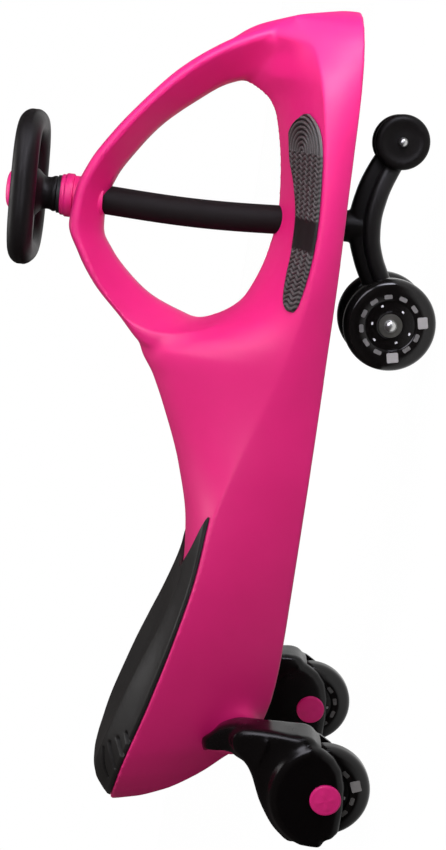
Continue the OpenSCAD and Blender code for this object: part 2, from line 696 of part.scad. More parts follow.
// Steering wheel
rim_a = (rim_l - grip_d) / 2;
rim_b = (rim_w - grip_d) / 2;
module rim() {
    for (k = [-1, 1]) {
        translate([-rim_a + rim_corner, k * rim_b, 0]) rotate([0, 90, 0])
            cylinder(d = grip_d, h = 2 * (rim_a - rim_corner));
        translate([k * rim_a, -rim_b + rim_corner, 0]) rotate([-90, 0, 0])
            cylinder(d = grip_d, h = 2 * (rim_b - rim_corner));
    }
    for (turn = [0 : 90 : 270])
        let (c = [cos(turn) - sin(turn), sin(turn) + cos(turn)])
        translate([c[0] * (rim_a - rim_corner), c[1] * (rim_b - rim_corner), 0]) rotate([0, 0, turn])
            rotate_extrude(angle = 90) translate([rim_corner, 0]) circle(d = grip_d);
}
module steering_wheel() color(black) on_column() difference() {
    union() {
        translate([0, 0, hub_from]) cylinder(d = neck_d, h = hub_top - hub_from);
        translate([0, 0, hub_from + neck_h]) cylinder(d = hub_boss_d, h = grip_d);
        translate([0, 0, rim_h]) {
            translate([rim_ahead, 0, 0]) rim();
            translate([-spoke_w / 2, -rim_b, -spoke_t / 2]) cube([spoke_w, 2 * rim_b, spoke_t]);
            translate([rim_ahead - rim_a, -spoke_w / 2, -spoke_t / 2]) cube([rim_a, spoke_w, spoke_t]);
        }
    }
    translate([0, 0, hub_from - overrun]) cylinder(d = column_d + 2 * fit_gap, h = hub_top - hub_from);
    translate([0, 0, top_shoulder]) cylinder(d = nut_room_d + 2 * cap_plug_t, h = nut_room_h + overrun);
}
// A low dome with a straight edge and a flat crown
module dome(d, edge, height) {
    rotate_extrude() polygon(concat(
        [[0, 0], [d / 2, 0]],
        [for (i = [0 : cap_rings])
            let (turn = 90 * i / cap_rings)
            [d / 2 * mix(cap_flat_share, 1, cos(turn)), edge + (height - edge) * sin(turn)]],
        [[0, height]]
    ));
}
module steering_cap() color(pink) on_column() translate([0, 0, hub_top]) {
    dome(cap_d, cap_edge_h, cap_h);
    translate([0, 0, -cap_plug_h])
        tube(nut_room_d + 2 * cap_plug_t - 2 * fit_gap, nut_room_d, cap_plug_h);
}

// Front arm
module arm_circle(place, d) {
    translate(place) circle(d = d);
}
pivot_place = [0, pivot_z];
axle_place = [-trail, axle_drop];
roller_place = [roller_reach, roller_drop];
shoulder_place = [mix(0, roller_reach, shoulder_share), mix(pivot_z, roller_drop, shoulder_share / 2)];
module front_arm() color(black) difference() {
    union() {
        translate([steer_x, 0, underside_z]) {
            in_side_view(arm_w) {
                hull() {
                    arm_circle(axle_place, axle_boss_d);
                    arm_circle(pivot_place, arm_depth);
                }
                hull() {
                    arm_circle(pivot_place, arm_depth);
                    arm_circle(shoulder_place, arm_depth);
                }
            }
            in_side_view(tongue_w) hull() {
                arm_circle(pivot_place, arm_depth);
                arm_circle(roller_place, tongue_d);
            }
        }
        on_column() translate([0, 0, arm_top - arm_depth]) cylinder(d = arm_boss_d, h = arm_depth);
    }
    on_column() {
        translate([0, 0, bottom_shoulder]) cylinder(d = column_d + 2 * fit_gap, h = arm_depth + overrun);
        translate([0, 0, column_bottom - overrun]) cylinder(d = thread_d + 2 * fit_gap, h = arm_depth);
        translate([0, 0, arm_top - arm_depth - overrun]) cylinder(d = nut_room_d, h = nut_room_h + overrun);
        translate([0, 0, arm_top]) cylinder(d = arm_boss_d + arm_depth, h = arm_depth);
    }
    translate([front_x, arm_w / 2 + overrun, axle_z]) rotate([90, 0, 0])
        cylinder(d = axle_d + 2 * fit_gap, h = arm_w + 2 * overrun);
    translate([steer_x + roller_reach, tongue_w / 2 + overrun, underside_z + roller_drop]) rotate([90, 0, 0])
        cylinder(d = axle_d + 2 * fit_gap, h = tongue_w + 2 * overrun);
}
// A bolt along Y: its head on the right ends at -reach, and its thread runs past the nut on the left
module cross_bolt(place, reach) {
    translate(place) rotate([-90, 0, 0]) {
        translate([0, 0, -reach - head_h]) hex(head_across, head_h);
        translate([0, 0, -reach]) cylinder(d = axle_d, h = 2 * reach + axle_nut_h + thread_over);
    }
}
front_reach = front_track / 2 + wheel_w / 2 + run_gap + washer_t;
roller_y = tongue_w / 2 + run_gap + roller_w / 2;
roller_reach_y = roller_y + roller_w / 2 + run_gap;
roller_centre = [steer_x + roller_reach, 0, underside_z + roller_drop];
module front_axle() color(steel) cross_bolt([front_x, 0, axle_z], front_reach);
module front_nut() color(steel) translate([front_x, front_reach, axle_z]) rotate([-90, 0, 0])
    nut(head_across, axle_d, axle_nut_h);
module roller_axle() color(steel) cross_bolt(roller_centre, roller_reach_y);
module roller_nut() color(steel) translate(roller_centre + [0, roller_reach_y, 0]) rotate([-90, 0, 0])
    nut(head_across, axle_d, axle_nut_h);
module front_spacers() color(steel) for (side = [-1, 1]) on_wheel([front_x, 0, axle_z], side) {
    translate([0, 0, arm_w / 2]) tube(spacer_d, axle_d + 2 * fit_gap, front_spacer_t);
    translate([0, 0, front_reach - washer_t]) tube(spacer_d, axle_d + 2 * fit_gap, washer_t);
}
module roller(side) color(grey) on_wheel(roller_centre + [0, side * roller_y, 0], side) difference() {
    rotate_extrude() {
        translate([0, -roller_w / 2]) square([roller_d / 2 - roller_round, roller_w]);
        translate([0, roller_round - roller_w / 2]) square([roller_d / 2, roller_w - 2 * roller_round]);
        for (k = [-1, 1]) translate([roller_d / 2 - roller_round, k * (roller_w / 2 - roller_round)])
            circle(r = roller_round);
    }
    translate([0, 0, -roller_w]) cylinder(d = axle_d + 2 * shaft_gap, h = 2 * roller_w);
    translate([0, 0, roller_w / 2 - roller_dish]) difference() {
        cylinder(d = roller_d - 2 * roller_rim, h = roller_dish + overrun);
        translate([0, 0, -overrun]) cylinder(d = roller_boss_d, h = roller_dish + 2 * overrun);
    }
}

// Wheels: in each, Z points outboard from the middle of the wheel
module lug_blocks(grow, past) {
    for (i = [0 : lugs - 1]) rotate([0, 0, i * 360 / lugs])
        translate([hub_d / 2 - hub_lip, -lug_w / 2 - grow, -wheel_w / 2 - past])
            cube([lug_reach + hub_lip + grow, lug_w + 2 * grow, wheel_w + 2 * past]);
}
module tyre(place, side) color(black) on_wheel(place, side) difference() {
    rotate_extrude() difference() {
        union() {
            translate([0, -wheel_w / 2]) square([wheel_d / 2 - tyre_round, wheel_w]);
            translate([0, tyre_round - wheel_w / 2]) square([wheel_d / 2, wheel_w - 2 * tyre_round]);
            for (k = [-1, 1]) translate([wheel_d / 2 - tyre_round, k * (wheel_w / 2 - tyre_round)])
                circle(r = tyre_round);
        }
        translate([0, -wheel_w]) square([hub_d / 2 + fit_gap, 2 * wheel_w]);
    }
    lug_blocks(fit_gap, overrun);
}
module wheel_hub(place, side) color(white) on_wheel(place, side) difference() {
    union() {
        translate([0, 0, -wheel_w / 2]) cylinder(d = hub_d, h = wheel_w);
        lug_blocks(0, 0);
    }
    translate([0, 0, -wheel_w]) cylinder(d = bearing_d - 2 * hub_lip, h = 2 * wheel_w);
    for (k = [0, 1]) mirror([0, 0, k]) translate([0, 0, wheel_w / 2 - bearing_w])
        cylinder(d = bearing_d + 2 * fit_gap, h = bearing_w + overrun);
    translate([0, 0, wheel_w / 2 - light_depth])
        tube(light_out_d + 2 * fit_gap, light_in_d - 2 * fit_gap, light_depth + overrun);
}
module bearing() {
    difference() {
        tube(bearing_d, axle_d + 2 * shaft_gap, bearing_w);
        translate([0, 0, bearing_w - bearing_dish])
            tube(bearing_d - 2 * bearing_race, spacer_d, bearing_dish + overrun);
    }
}
module bearings(place, side) color(steel) on_wheel(place, side)
    for (k = [0, 1]) mirror([0, 0, k]) translate([0, 0, wheel_w / 2 - bearing_w]) bearing();
module light_ring(place, side) color(white) on_wheel(place, side)
    translate([0, 0, wheel_w / 2 - light_depth]) {
        tube(light_out_d, light_in_d, light_board_t);
        for (i = [0 : lights - 1]) rotate([0, 0, (i + 0.5) * 360 / lights])
            translate([(light_in_d + light_out_d) / 4 - light_w / 2, -light_w / 2, 0])
                cube([light_w, light_w, light_depth]);
    }
module magnet(place, side) color(grey) on_wheel(place, side)
    translate([0, 0, -wheel_w / 2 + bearing_w + run_gap])
        tube(magnet_d, axle_d + 2 * fit_gap, wheel_w - 2 * bearing_w - 2 * run_gap);

// Rear wheel housings
function closed_curve(points, steps) =
    let (n = len(points))
    [for (i = [0 : n - 1], k = [0 : steps - 1])
        let (
            t = k / steps,
            a = points[(i + n - 1) % n],
            b = points[i],
            c = points[(i + 1) % n],
            d = points[(i + 2) % n]
        )
        0.5 * (2 * b + (c - a) * t
               + (2 * a - 5 * b + 4 * c - d) * t * t
               + (3 * b - a - 3 * c + d) * t * t * t)];
module fork_outline() {
    polygon(closed_curve([for (p = fork_outline_shares) fork_point(p)], fork_steps));
}
module rear_fork(side) color(black) mirror([0, side > 0 ? 0 : 1, 0]) difference() {
    union() {
        translate([0, rear_y, 0]) in_side_view(fork_w) fork_outline();
        hull() {
            translate([fork_pad[0], fork_inner_y, fork_pad[1]]) rotate([-90, 0, 0])
                cylinder(d = fork_pad_d, h = fork_pad_t, $fn = 32);
            translate([fork_shoulder[0], fork_inner_y, fork_shoulder[1]]) rotate([-90, 0, 0])
                cylinder(d = fork_shoulder_d, h = fork_w - cheek, $fn = 32);
        }
    }
    translate([0, rear_y, 0]) in_side_view(fork_inside) {
        offset(delta = -fork_wall) fork_outline();
        translate([rear_x, axle_z]) circle(d = wheel_d + 2 * wheel_room);
        translate([rear_x - wheel_d, axle_z - wheel_d]) {
            square([wheel_d, wheel_d * (1 + rear_open_share / 2)]);
            square([2 * wheel_d, wheel_d * (1 - front_open_share)]);
        }
    }
    on_wheel(rear_place(1), 1) {
        translate([0, 0, -fork_w]) cylinder(d = axle_d + 2 * fit_gap, h = 2 * fork_w);
        for (k = [0, 1]) mirror([0, 0, k]) translate([0, 0, fork_w / 2 - cap_room_h])
            cylinder(d = cap_room_d, h = cap_room_h + overrun);
    }
    translate([0, fork_inner_y - overrun, 0]) at_fork_bolts()
        cylinder(d = bolt_d + 2 * fit_gap, h = bolt_grip + overrun + thread_over);
}
module fork_bolts() color(steel) both_sides() translate([0, fork_inner_y - fork_pad_in, 0]) at_fork_bolts() {
    translate([0, 0, -bolt_head_h]) hex(bolt_head_across, bolt_head_h);
    cylinder(d = bolt_d, h = fork_pad_in + bolt_grip);
}
rear_seat = fork_w / 2 - cap_room_h;
module rear_axle(side) color(steel) on_wheel(rear_place(side), side) {
    translate([0, 0, rear_seat]) hex(head_across, head_h);
    translate([0, 0, -rear_seat - axle_nut_h]) cylinder(d = axle_d, h = 2 * rear_seat + axle_nut_h);
}
module rear_nut(side) color(steel) on_wheel(rear_place(side), side)
    translate([0, 0, -rear_seat - axle_nut_h]) nut(head_across, axle_d, axle_nut_h);
module rear_caps(side) color(pink) on_wheel(rear_place(side), side)
    for (k = [0, 1]) mirror([0, 0, k]) translate([0, 0, fork_w / 2]) {
        dome(axle_cap_d, cap_edge_h, axle_cap_h);
        translate([0, 0, -cap_plug_h])
            tube(cap_room_d - 2 * fit_gap, head_across / cos(180 / hex_sides) + 2 * fit_gap, cap_plug_h);
    }
module rear_spacers(side) color(steel) on_wheel(rear_place(side), side)
    for (k = [0, 1]) mirror([0, 0, k]) translate([0, 0, wheel_w / 2 + run_gap])
        tube(spacer_d, axle_d + 2 * fit_gap, fork_inside / 2 - wheel_w / 2 - run_gap);

body_shell();
underside_pan();
pan_screws();
seat_pad();
seat_screws();
foot_pad(1);  // foot_pad_left
foot_pad(-1);  // foot_pad_right
upper_bush();
lower_bush();
column_sleeve();
rear_fork(1);  // rear_fork_left
rear_fork(-1);  // rear_fork_right
fork_bolts();
rear_axle(1);  // rear_axle_left
rear_axle(-1);  // rear_axle_right
rear_nut(1);  // rear_nut_left
rear_nut(-1);  // rear_nut_right
rear_caps(1);  // rear_caps_left
rear_caps(-1);  // rear_caps_right
rear_spacers(1);  // rear_spacers_left
rear_spacers(-1);  // rear_spacers_right
magnet(rear_place(1), 1);  // rear_magnet_left
magnet(rear_place(-1), -1);  // rear_magnet_right
steering_column();
column_top_nut();
column_bottom_nut();
steering_wheel();
steering_cap();
thrust_washer();
front_arm();
front_axle();
front_nut();
front_spacers();
magnet(front_place(1), 1);  // front_magnet_left
magnet(front_place(-1), -1);  // front_magnet_right
roller_axle();
roller_nut();
roller(1);  // roller_left
roller(-1);  // roller_right
tyre(front_place(1), 1);  // front_tyre_left
wheel_hub(front_place(1), 1);  // front_hub_left
bearings(front_place(1), 1);  // front_bearings_left
light_ring(front_place(1), 1);  // front_lights_left
tyre(front_place(-1), -1);  // front_tyre_right
wheel_hub(front_place(-1), -1);  // front_hub_right
bearings(front_place(-1), -1);  // front_bearings_right
light_ring(front_place(-1), -1);  // front_lights_right
tyre(rear_place(1), 1);  // rear_tyre_left
wheel_hub(rear_place(1), 1);  // rear_hub_left
bearings(rear_place(1), 1);  // rear_bearings_left
light_ring(rear_place(1), 1);  // rear_lights_left
tyre(rear_place(-1), -1);  // rear_tyre_right
wheel_hub(rear_place(-1), -1);  // rear_hub_right
bearings(rear_place(-1), -1);  // rear_bearings_right
light_ring(rear_place(-1), -1);  // rear_lights_right
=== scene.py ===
"""A ride-on wiggle car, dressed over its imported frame: pink body, black seat, pads and running gear."""
import math

import bmesh
import bpy
import numpy as np
from mathutils import Matrix, Vector


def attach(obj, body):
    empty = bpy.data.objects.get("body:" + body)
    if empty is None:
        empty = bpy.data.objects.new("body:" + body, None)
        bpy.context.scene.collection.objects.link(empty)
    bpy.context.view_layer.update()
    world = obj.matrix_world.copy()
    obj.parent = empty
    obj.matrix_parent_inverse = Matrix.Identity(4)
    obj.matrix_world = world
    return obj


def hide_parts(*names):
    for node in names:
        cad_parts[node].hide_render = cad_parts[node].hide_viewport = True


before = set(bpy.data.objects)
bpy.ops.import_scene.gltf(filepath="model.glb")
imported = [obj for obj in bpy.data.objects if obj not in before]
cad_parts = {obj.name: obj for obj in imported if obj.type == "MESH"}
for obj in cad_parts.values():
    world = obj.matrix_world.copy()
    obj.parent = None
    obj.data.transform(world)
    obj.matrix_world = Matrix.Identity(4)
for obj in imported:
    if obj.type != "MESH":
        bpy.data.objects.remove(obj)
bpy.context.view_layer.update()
scene = bpy.context.scene

MM = 0.001
TAU = 2 * math.pi

# Sizes of the part, in millimetres, as in its source
BODY_LENGTH = 790
BODY_W = 220
BODY_H = 254
UNDERSIDE_Z = 96
WHEEL_D = 86
WHEEL_W = 24
WHEEL_HALF = WHEEL_W / 2
AXLE_Z = WHEEL_D / 2
RAKE = 2
STEER_SHARE = 0.753
STEER_X = (STEER_SHARE - 0.5) * BODY_LENGTH
TRAIL = 82
FRONT_X = STEER_X - TRAIL
FRONT_Y = 35
REAR_SHARE = 0.11
REAR_X = (REAR_SHARE - 0.5) * BODY_LENGTH
FORK_IN_SHARE = 0.82
FORK_IN_Y = FORK_IN_SHARE * BODY_W / 2
FORK_W = 53
REAR_Y = FORK_IN_Y + FORK_W / 2
ROLLER_REACH = 84
ROLLER_X = STEER_X + ROLLER_REACH
ROLLER_Z = 55.5
RIM_H = 296.05

# Outlines of the body from the tail at 0 to the nose at 1, in shares of its length, height and half width
CREASE_HEIGHT = [
    (0, 0.551), (0.035, 0.551), (0.075, 0.539), (0.18, 0.461), (0.257, 0.406), (0.333, 0.358),
    (0.405, 0.327), (0.448, 0.292), (0.529, 0.213), (0.578, 0.169), (0.625, 0.138), (0.672, 0.118),
    (0.741, 0.110), (0.816, 0.126), (0.884, 0.161), (0.939, 0.207), (0.957, 0.235), (0.970, 0.270),
    (0.980, 0.300), (0.990, 0.200), (0.996, 0.110),
]
CREASE_WIDTH = [
    (0, 0.03), (0.012, 0.22), (0.03, 0.47), (0.055, 0.74), (0.085, 0.91), (0.12, 0.98), (0.186, 1),
    (0.237, 1), (0.313, 0.955), (0.363, 0.88), (0.438, 0.78), (0.525, 0.72), (0.623, 0.78), (0.699, 0.864),
    (0.783, 0.90), (0.844, 0.88), (0.884, 0.83), (0.92, 0.72), (0.957, 0.52), (0.980, 0.35),
    (0.990, 0.28), (0.996, 0.24),
]
RIDGE_HEIGHT = [
    (0, 0.556), (0.035, 0.563), (0.075, 0.551), (0.18, 0.473), (0.257, 0.420), (0.313, 0.406),
    (0.37, 0.421), (0.443, 0.480), (0.514, 0.570), (0.548, 0.622), (0.582, 0.682), (0.597, 0.615),
    (0.619, 0.457), (0.634, 0.378), (0.654, 0.323), (0.711, 0.264), (0.755, 0.248), (0.801, 0.260),
    (0.868, 0.307), (0.885, 0.339), (0.898, 0.400), (0.913, 0.530), (0.927, 0.575), (0.944, 0.520),
    (0.966, 0.430), (0.980, 0.325), (0.990, 0.217), (0.996, 0.140),
]
KEEL_HEIGHT = [
    (0, 0.540), (0.015, 0.485), (0.037, 0.390), (0.052, 0.323), (0.081, 0.215), (0.0975, 0.165),
    (0.13, 0.068), (0.16, 0.026), (0.195, 0.007), (0.24, 0), (0.49, 0.002), (0.648, 0.012),
    (0.816, 0.030), (0.914, 0.038), (0.99, 0.062), (0.996, 0.068),
]
KEEL_WIDTH = [
    (0, 0.02), (0.012, 0.16), (0.03, 0.34), (0.055, 0.46), (0.11, 0.54), (0.186, 0.60), (0.3, 0.66),
    (0.438, 0.66), (0.525, 0.64), (0.623, 0.70), (0.7, 0.78), (0.783, 0.82), (0.844, 0.81),
    (0.884, 0.78), (0.92, 0.72), (0.957, 0.64), (0.980, 0.53), (0.990, 0.42), (0.996, 0.30),
]
ROOF_POWER = [
    (0, 2), (0.3, 1.6), (0.36, 1.9), (0.45, 2.8), (0.545, 3.8), (0.585, 3.5), (0.603, 3.3), (0.62, 2.9),
    (0.63, 2.6), (0.645, 2), (0.66, 1.6), (0.69, 1.2), (0.72, 1), (0.83, 1), (0.86, 0.95), (0.885, 0.73),
    (0.9, 0.5), (0.92, 0.42), (0.935, 0.45), (0.945, 0.7), (0.957, 1.5), (0.97, 2), (1, 2),
]
ARCH_OUTER = [
    (0.976, 0.315), (0.956, 0.458), (0.933, 0.572), (0.903, 0.684), (0.862, 0.794), (0.824, 0.882),
    (0.785, 0.954), (0.749, 0.992), (0.713, 1), (0.679, 0.952), (0.646, 0.880), (0.614, 0.777),
    (0.582, 0.669), (0.575, 0.580), (0.585, 0.480),
]
ARCH_INNER = [
    (0.927, 0.299), (0.908, 0.409), (0.894, 0.508), (0.872, 0.598), (0.838, 0.713), (0.806, 0.787),
    (0.771, 0.850), (0.739, 0.878), (0.709, 0.874), (0.685, 0.831), (0.660, 0.756), (0.638, 0.661),
    (0.623, 0.535), (0.617, 0.465), (0.624, 0.410),
]
ARCH_WIDTH = [
    0.30, 0.34, 0.36, 0.373, 0.373, 0.364, 0.345, 0.33, 0.33, 0.345, 0.37, 0.395, 0.42, 0.435, 0.43,
]
# Depth of the arch's flat side above its slanted inner face, as a share of the arch's depth
ARCH_SHOULDER = [0.28, 0.26, 0.26, 0.28, 0.3, 0.32, 0.32, 0.32, 0.32, 0.30, 0.22, 0.15, 0.5, 0.86, 0.95]
SKIRT_SWELL = 0.03
# Crowds the points of the roof towards the crease
ROOF_CROWDING = 1.3
SIDES = ((1, "left"), (-1, "right"))


# Curves and body sections
def mix(a, b, t):
    return a + (b - a) * t


def ease(t):
    t = min(1, max(0, t))
    return t * t * (3 - 2 * t)


def smooth(table, x):
    """A curve through a table of (place, value) that never overshoots."""
    i = 0
    while i < len(table) - 2 and x >= table[i + 1][0]:
        i += 1

    def rise(k):
        return (table[k + 1][1] - table[k][1]) / (table[k + 1][0] - table[k][0])

    def tangent(k):
        if k == 0:
            return rise(0)
        if k == len(table) - 1:
            return rise(k - 1)
        a, b = rise(k - 1), rise(k)
        return 0 if a * b <= 0 else 2 * a * b / (a + b)

    h = table[i + 1][0] - table[i][0]
    t = min(1, max(0, (x - table[i][0]) / h))
    t2, t3 = t * t, t * t * t
    value = (2 * t3 - 3 * t2 + 1) * table[i][1] + (3 * t2 - 2 * t3) * table[i + 1][1]
    return value + (t3 - 2 * t2 + t) * h * tangent(i) + (t3 - t2) * h * tangent(i + 1)


def along(share):
    return (share - 0.5) * BODY_LENGTH


def level(share):
    return UNDERSIDE_Z + share * BODY_H


def half(share):
    return share * BODY_W / 2


def crease_y(s):
    return half(smooth(CREASE_WIDTH, s))


def crease_z(s):
    return level(smooth(CREASE_HEIGHT, s))


def ridge_z(s):
    return level(smooth(RIDGE_HEIGHT, s))


def keel_y(s):
    return half(smooth(KEEL_WIDTH, s))


def keel_z(s):
    return level(smooth(KEEL_HEIGHT, s))


def roof_z(s, y):
    reach = min(1, abs(y) / crease_y(s))
    return mix(crease_z(s), ridge_z(s), 1 - reach ** smooth(ROOF_POWER, s))


def hull_ring(s, skirt_steps=12, roof_steps=22):
    """One section of the body, bottom middle first, then up its left side and down its right."""
    ky, kz, cy, cz = keel_y(s), keel_z(s), crease_y(s), crease_z(s)
    side = [(ky * 0.5, kz), (ky, kz)]
    for i in range(1, skirt_steps):
        t = i / skirt_steps
        swell = half(SKIRT_SWELL) * 4 * t * (1 - t) * cy * 2 / BODY_W
        side.append((mix(ky, cy, t) + swell, mix(kz, cz, t)))
    side.append((cy, cz))
    for i in range(1, roof_steps):
        y = cy * (1 - (i / roof_steps) ** ROOF_CROWDING)
        side.append((y, roof_z(s, y)))
    ring = [(0, kz)] + side + [(0, ridge_z(s))] + [(-y, z) for y, z in reversed(side)]
    return [(along(s), y, z) for y, z in ring]


def numbered(values):
    return list(enumerate(values))


def arch_ring(t):
    """One section of the handle arch: flat sides above, then faces that slant in to a rounded keel."""
    top = [smooth(numbered([p[k] for p in ARCH_OUTER]), t) for k in (0, 1)]
    low = [smooth(numbered([p[k] for p in ARCH_INNER]), t) for k in (0, 1)]
    outer = Vector((along(top[0]), 0, level(top[1])))
    inner = Vector((along(low[0]), 0, level(low[1])))
    w = half(smooth(numbered(ARCH_WIDTH), t))
    low_d = smooth(numbered(ARCH_SHOULDER), t)
    section = [
        (0.45, 0.005), (0.8, 0.03), (0.95, 0.10), (1, mix(0.1, low_d, 0.5)), (0.98, low_d),
        (0.3, mix(low_d, 1, 0.88)), (0.15, 0.99),
    ]
    points = [outer]
    for a, d in section:
        points.append(outer.lerp(inner, d) + Vector((0, a * w, 0)))
    points.append(inner)
    for a, d in reversed(section):
        points.append(outer.lerp(inner, d) - Vector((0, a * w, 0)))
    return [tuple(p) for p in points]


# Meshes as (points in millimetres, faces)
AXIS_R = 1e-4


def loft(rings, closed=False):
    """A solid through rings of equal length. A closed loft joins its last ring to its first."""
    n = len(rings[0])
    points = [p for ring in rings for p in ring]
    faces = []
    count = len(rings)
    for i in range(count if closed else count - 1):
        a0, b0 = i * n, ((i + 1) % count) * n
        for j in range(n):
            k = (j + 1) % n
            faces.append((a0 + j, a0 + k, b0 + k, b0 + j))
    if not closed:
        faces.append(tuple(reversed(range(n))))
        faces.append(tuple((count - 1) * n + j for j in range(n)))
    return points, faces


def lathe(profile, steps=96, matrix=None):
    """A solid of revolution about Z through (radius, height) points. Points on the axis close it."""
    rings = []
    for i in range(steps):
        a = TAU * i / steps
        rings.append([(max(r, AXIS_R) * math.cos(a), max(r, AXIS_R) * math.sin(a), h) for r, h in profile])
    n = len(profile)
    points = [p for ring in rings for p in ring]
    faces = []
    for i in range(steps):
        a0, b0 = i * n, ((i + 1) % steps) * n
        for j in range(n - 1):
            faces.append((a0 + j, b0 + j, b0 + j + 1, a0 + j + 1))
    return moved((points, faces), matrix)


def moved(mesh, matrix):
    """A mesh turned and shifted by a matrix, or left alone without one."""
    if matrix is None:
        return mesh
    return [tuple(matrix @ Vector(p)) for p in mesh[0]], mesh[1]


def joined(*meshes):
    points, faces = [], []
    for p, f in meshes:
        base = len(points)
        points += p
        faces += [tuple(i + base for i in face) for face in f]
    return points, faces


def squircle(a, power):
    """The point at an angle on a unit square with corners rounded by a power."""
    c, s = math.cos(a), math.sin(a)
    r = (abs(c) ** power + abs(s) ** power) ** (-1 / power)
    return c * r, s * r


def closed_curve(points, steps):
    """A smooth closed line through points."""
    n = len(points)
    out = []
    for i in range(n):
        a, b, c, d = (Vector(points[(i + k) % n]) for k in (-1, 0, 1, 2))
        for k in range(steps):
            t = k / steps
            p = 2 * b + (c - a) * t + (2 * a - 5 * b + 4 * c - d) * t * t + (3 * b - a - 3 * c + d) * t ** 3
            out.append(tuple(p * 0.5))
    return out


# Objects
SMOOTH_ANGLE = 40
CARVED_ANGLE = 50
MERGE_DIST = 2e-6
SLIVER_DIST = 1e-7
FILL_STEP = 0.6


def add(name, mesh, smooth_angle=SMOOTH_ANGLE):
    """A new object from points in millimetres, with outward faces and smooth shading up to an angle."""
    data = bpy.data.meshes.new(name)
    data.from_pydata([[c * MM for c in p] for p in mesh[0]], [], mesh[1])
    obj = bpy.data.objects.new(name, data)
    scene.collection.objects.link(obj)
    clean(obj, smooth_angle)
    return obj


def clean(obj, smooth_angle):
    """Merges double points, turns faces outwards and sets the shading."""
    bm = bmesh.new()
    bm.from_mesh(obj.data)
    bmesh.ops.remove_doubles(bm, verts=bm.verts, dist=MERGE_DIST)
    bmesh.ops.dissolve_degenerate(bm, edges=bm.edges, dist=SLIVER_DIST)
    bmesh.ops.recalc_face_normals(bm, faces=bm.faces)
    for f in bm.faces:
        f.smooth = True
    limit = math.radians(smooth_angle)
    for e in bm.edges:
        e.smooth = len(e.link_faces) == 2 and e.calc_face_angle(0) < limit
    bm.to_mesh(obj.data)
    bm.free()


def bake(obj):
    """Applies the modifiers of an object to its mesh."""
    graph = bpy.context.evaluated_depsgraph_get()
    mesh = bpy.data.meshes.new_from_object(obj.evaluated_get(graph))
    obj.modifiers.clear()
    old = obj.data
    obj.data = mesh
    bpy.data.meshes.remove(old)


def soften(obj, steps):
    mod = obj.modifiers.new("soften", "SMOOTH")
    mod.iterations = steps
    bake(obj)


def fuse(name, meshes, voxel, steps):
    """One moulded skin round several overlapping solids, with its edges rounded by a few smoothing steps."""
    obj = add(name, joined(*meshes))
    mod = obj.modifiers.new("skin", "REMESH")
    mod.mode = "VOXEL"
    mod.voxel_size = voxel * MM
    bake(obj)
    soften(obj, steps)
    obj.data.shade_smooth()
    return obj


def carve(obj, mesh):
    """Cuts a solid out of an object."""
    cutter = add("cutter", mesh)
    mod = obj.modifiers.new("cut", "BOOLEAN")
    mod.operation = "DIFFERENCE"
    mod.solver = "MANIFOLD"
    mod.object = cutter
    bake(obj)
    bpy.data.objects.remove(cutter)
    for f in obj.data.polygons:
        f.use_smooth = True
    obj.data.set_sharp_from_angle(angle=math.radians(CARVED_ANGLE))


def fill_valleys(obj, rounds, steps):
    """Fills hollow corners into soft fillets: points move out to their neighbours' middle, never in."""
    mesh = obj.data
    n = len(mesh.vertices)
    edges = np.empty(len(mesh.edges) * 2, dtype=np.int64)
    mesh.edges.foreach_get("vertices", edges)
    first, second = edges[0::2], edges[1::2]
    ends = np.concatenate([first, second])
    others = np.concatenate([second, first])
    count = np.maximum(np.bincount(ends, minlength=n), 1)[:, None]
    points = np.empty(n * 3)
    normals = np.empty(n * 3)
    mesh.vertices.foreach_get("co", points)
    points = points.reshape(n, 3)
    for _ in range(rounds):
        mesh.vertex_normals.foreach_get("vector", normals)
        outward = normals.reshape(n, 3)
        for _ in range(steps):
            total = np.stack([np.bincount(ends, points[others, k], n) for k in range(3)], axis=1)
            pull = total / count - points
            rise = np.maximum((pull * outward).sum(axis=1), 0)
            points = points + outward * rise[:, None] * FILL_STEP
        mesh.vertices.foreach_set("co", points.ravel())
        mesh.update()


def set_heights(obj, height):
    """Stores a height from 0 to 1 on each point of an object, which sets where the painted shade falls."""
    heights = obj.data.attributes.new("height", "FLOAT", "POINT")
    for v in obj.data.vertices:
        heights.data[v.index].value = height(v.co.x / MM, abs(v.co.y) / MM)


def finish_piece(obj, material, body, slot, *nodes):
    """Gives a piece its material and the body it rides on, and hides the CAD nodes it stands for. Its slot
    is not used.
    """
    obj.data.materials.clear()
    obj.data.materials.append(material)
    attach(obj, body)
    if nodes:
        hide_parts(*nodes)


COLUMN = Matrix.Translation((STEER_X, 0, UNDERSIDE_Z)) @ Matrix.Rotation(math.radians(-RAKE), 4, "Y")


def turned(degrees):
    """A turn about Z."""
    return Matrix.Rotation(math.radians(degrees), 4, "Z")


def on_wheel(x, y, z, side):
    """A frame at a wheel whose Z points outboard."""
    return Matrix.Translation((x, y, z)) @ Matrix.Rotation(math.radians(-90 * side), 4, "X")


# Materials
NOISE_LOW = 0.3
NOISE_HIGH = 0.7
NOISE_ROUGH = 0.55
CLOUD_SCALE = 9
WEAR_SCALE = 60
GRAIN_DEPTH = 0.0004


def node_material(name):
    mat = bpy.data.materials.new(name)
    mat.use_nodes = True
    nodes = mat.node_tree.nodes
    return mat, nodes, mat.node_tree.links, nodes["Principled BSDF"]


def noise(nodes, links, scale, detail):
    coord = nodes.new("ShaderNodeTexCoord")
    tex = nodes.new("ShaderNodeTexNoise")
    tex.inputs["Scale"].default_value = scale
    tex.inputs["Detail"].default_value = detail
    tex.inputs["Roughness"].default_value = NOISE_ROUGH
    links.new(coord.outputs["Object"], tex.inputs["Vector"])
    return tex.outputs["Fac"]


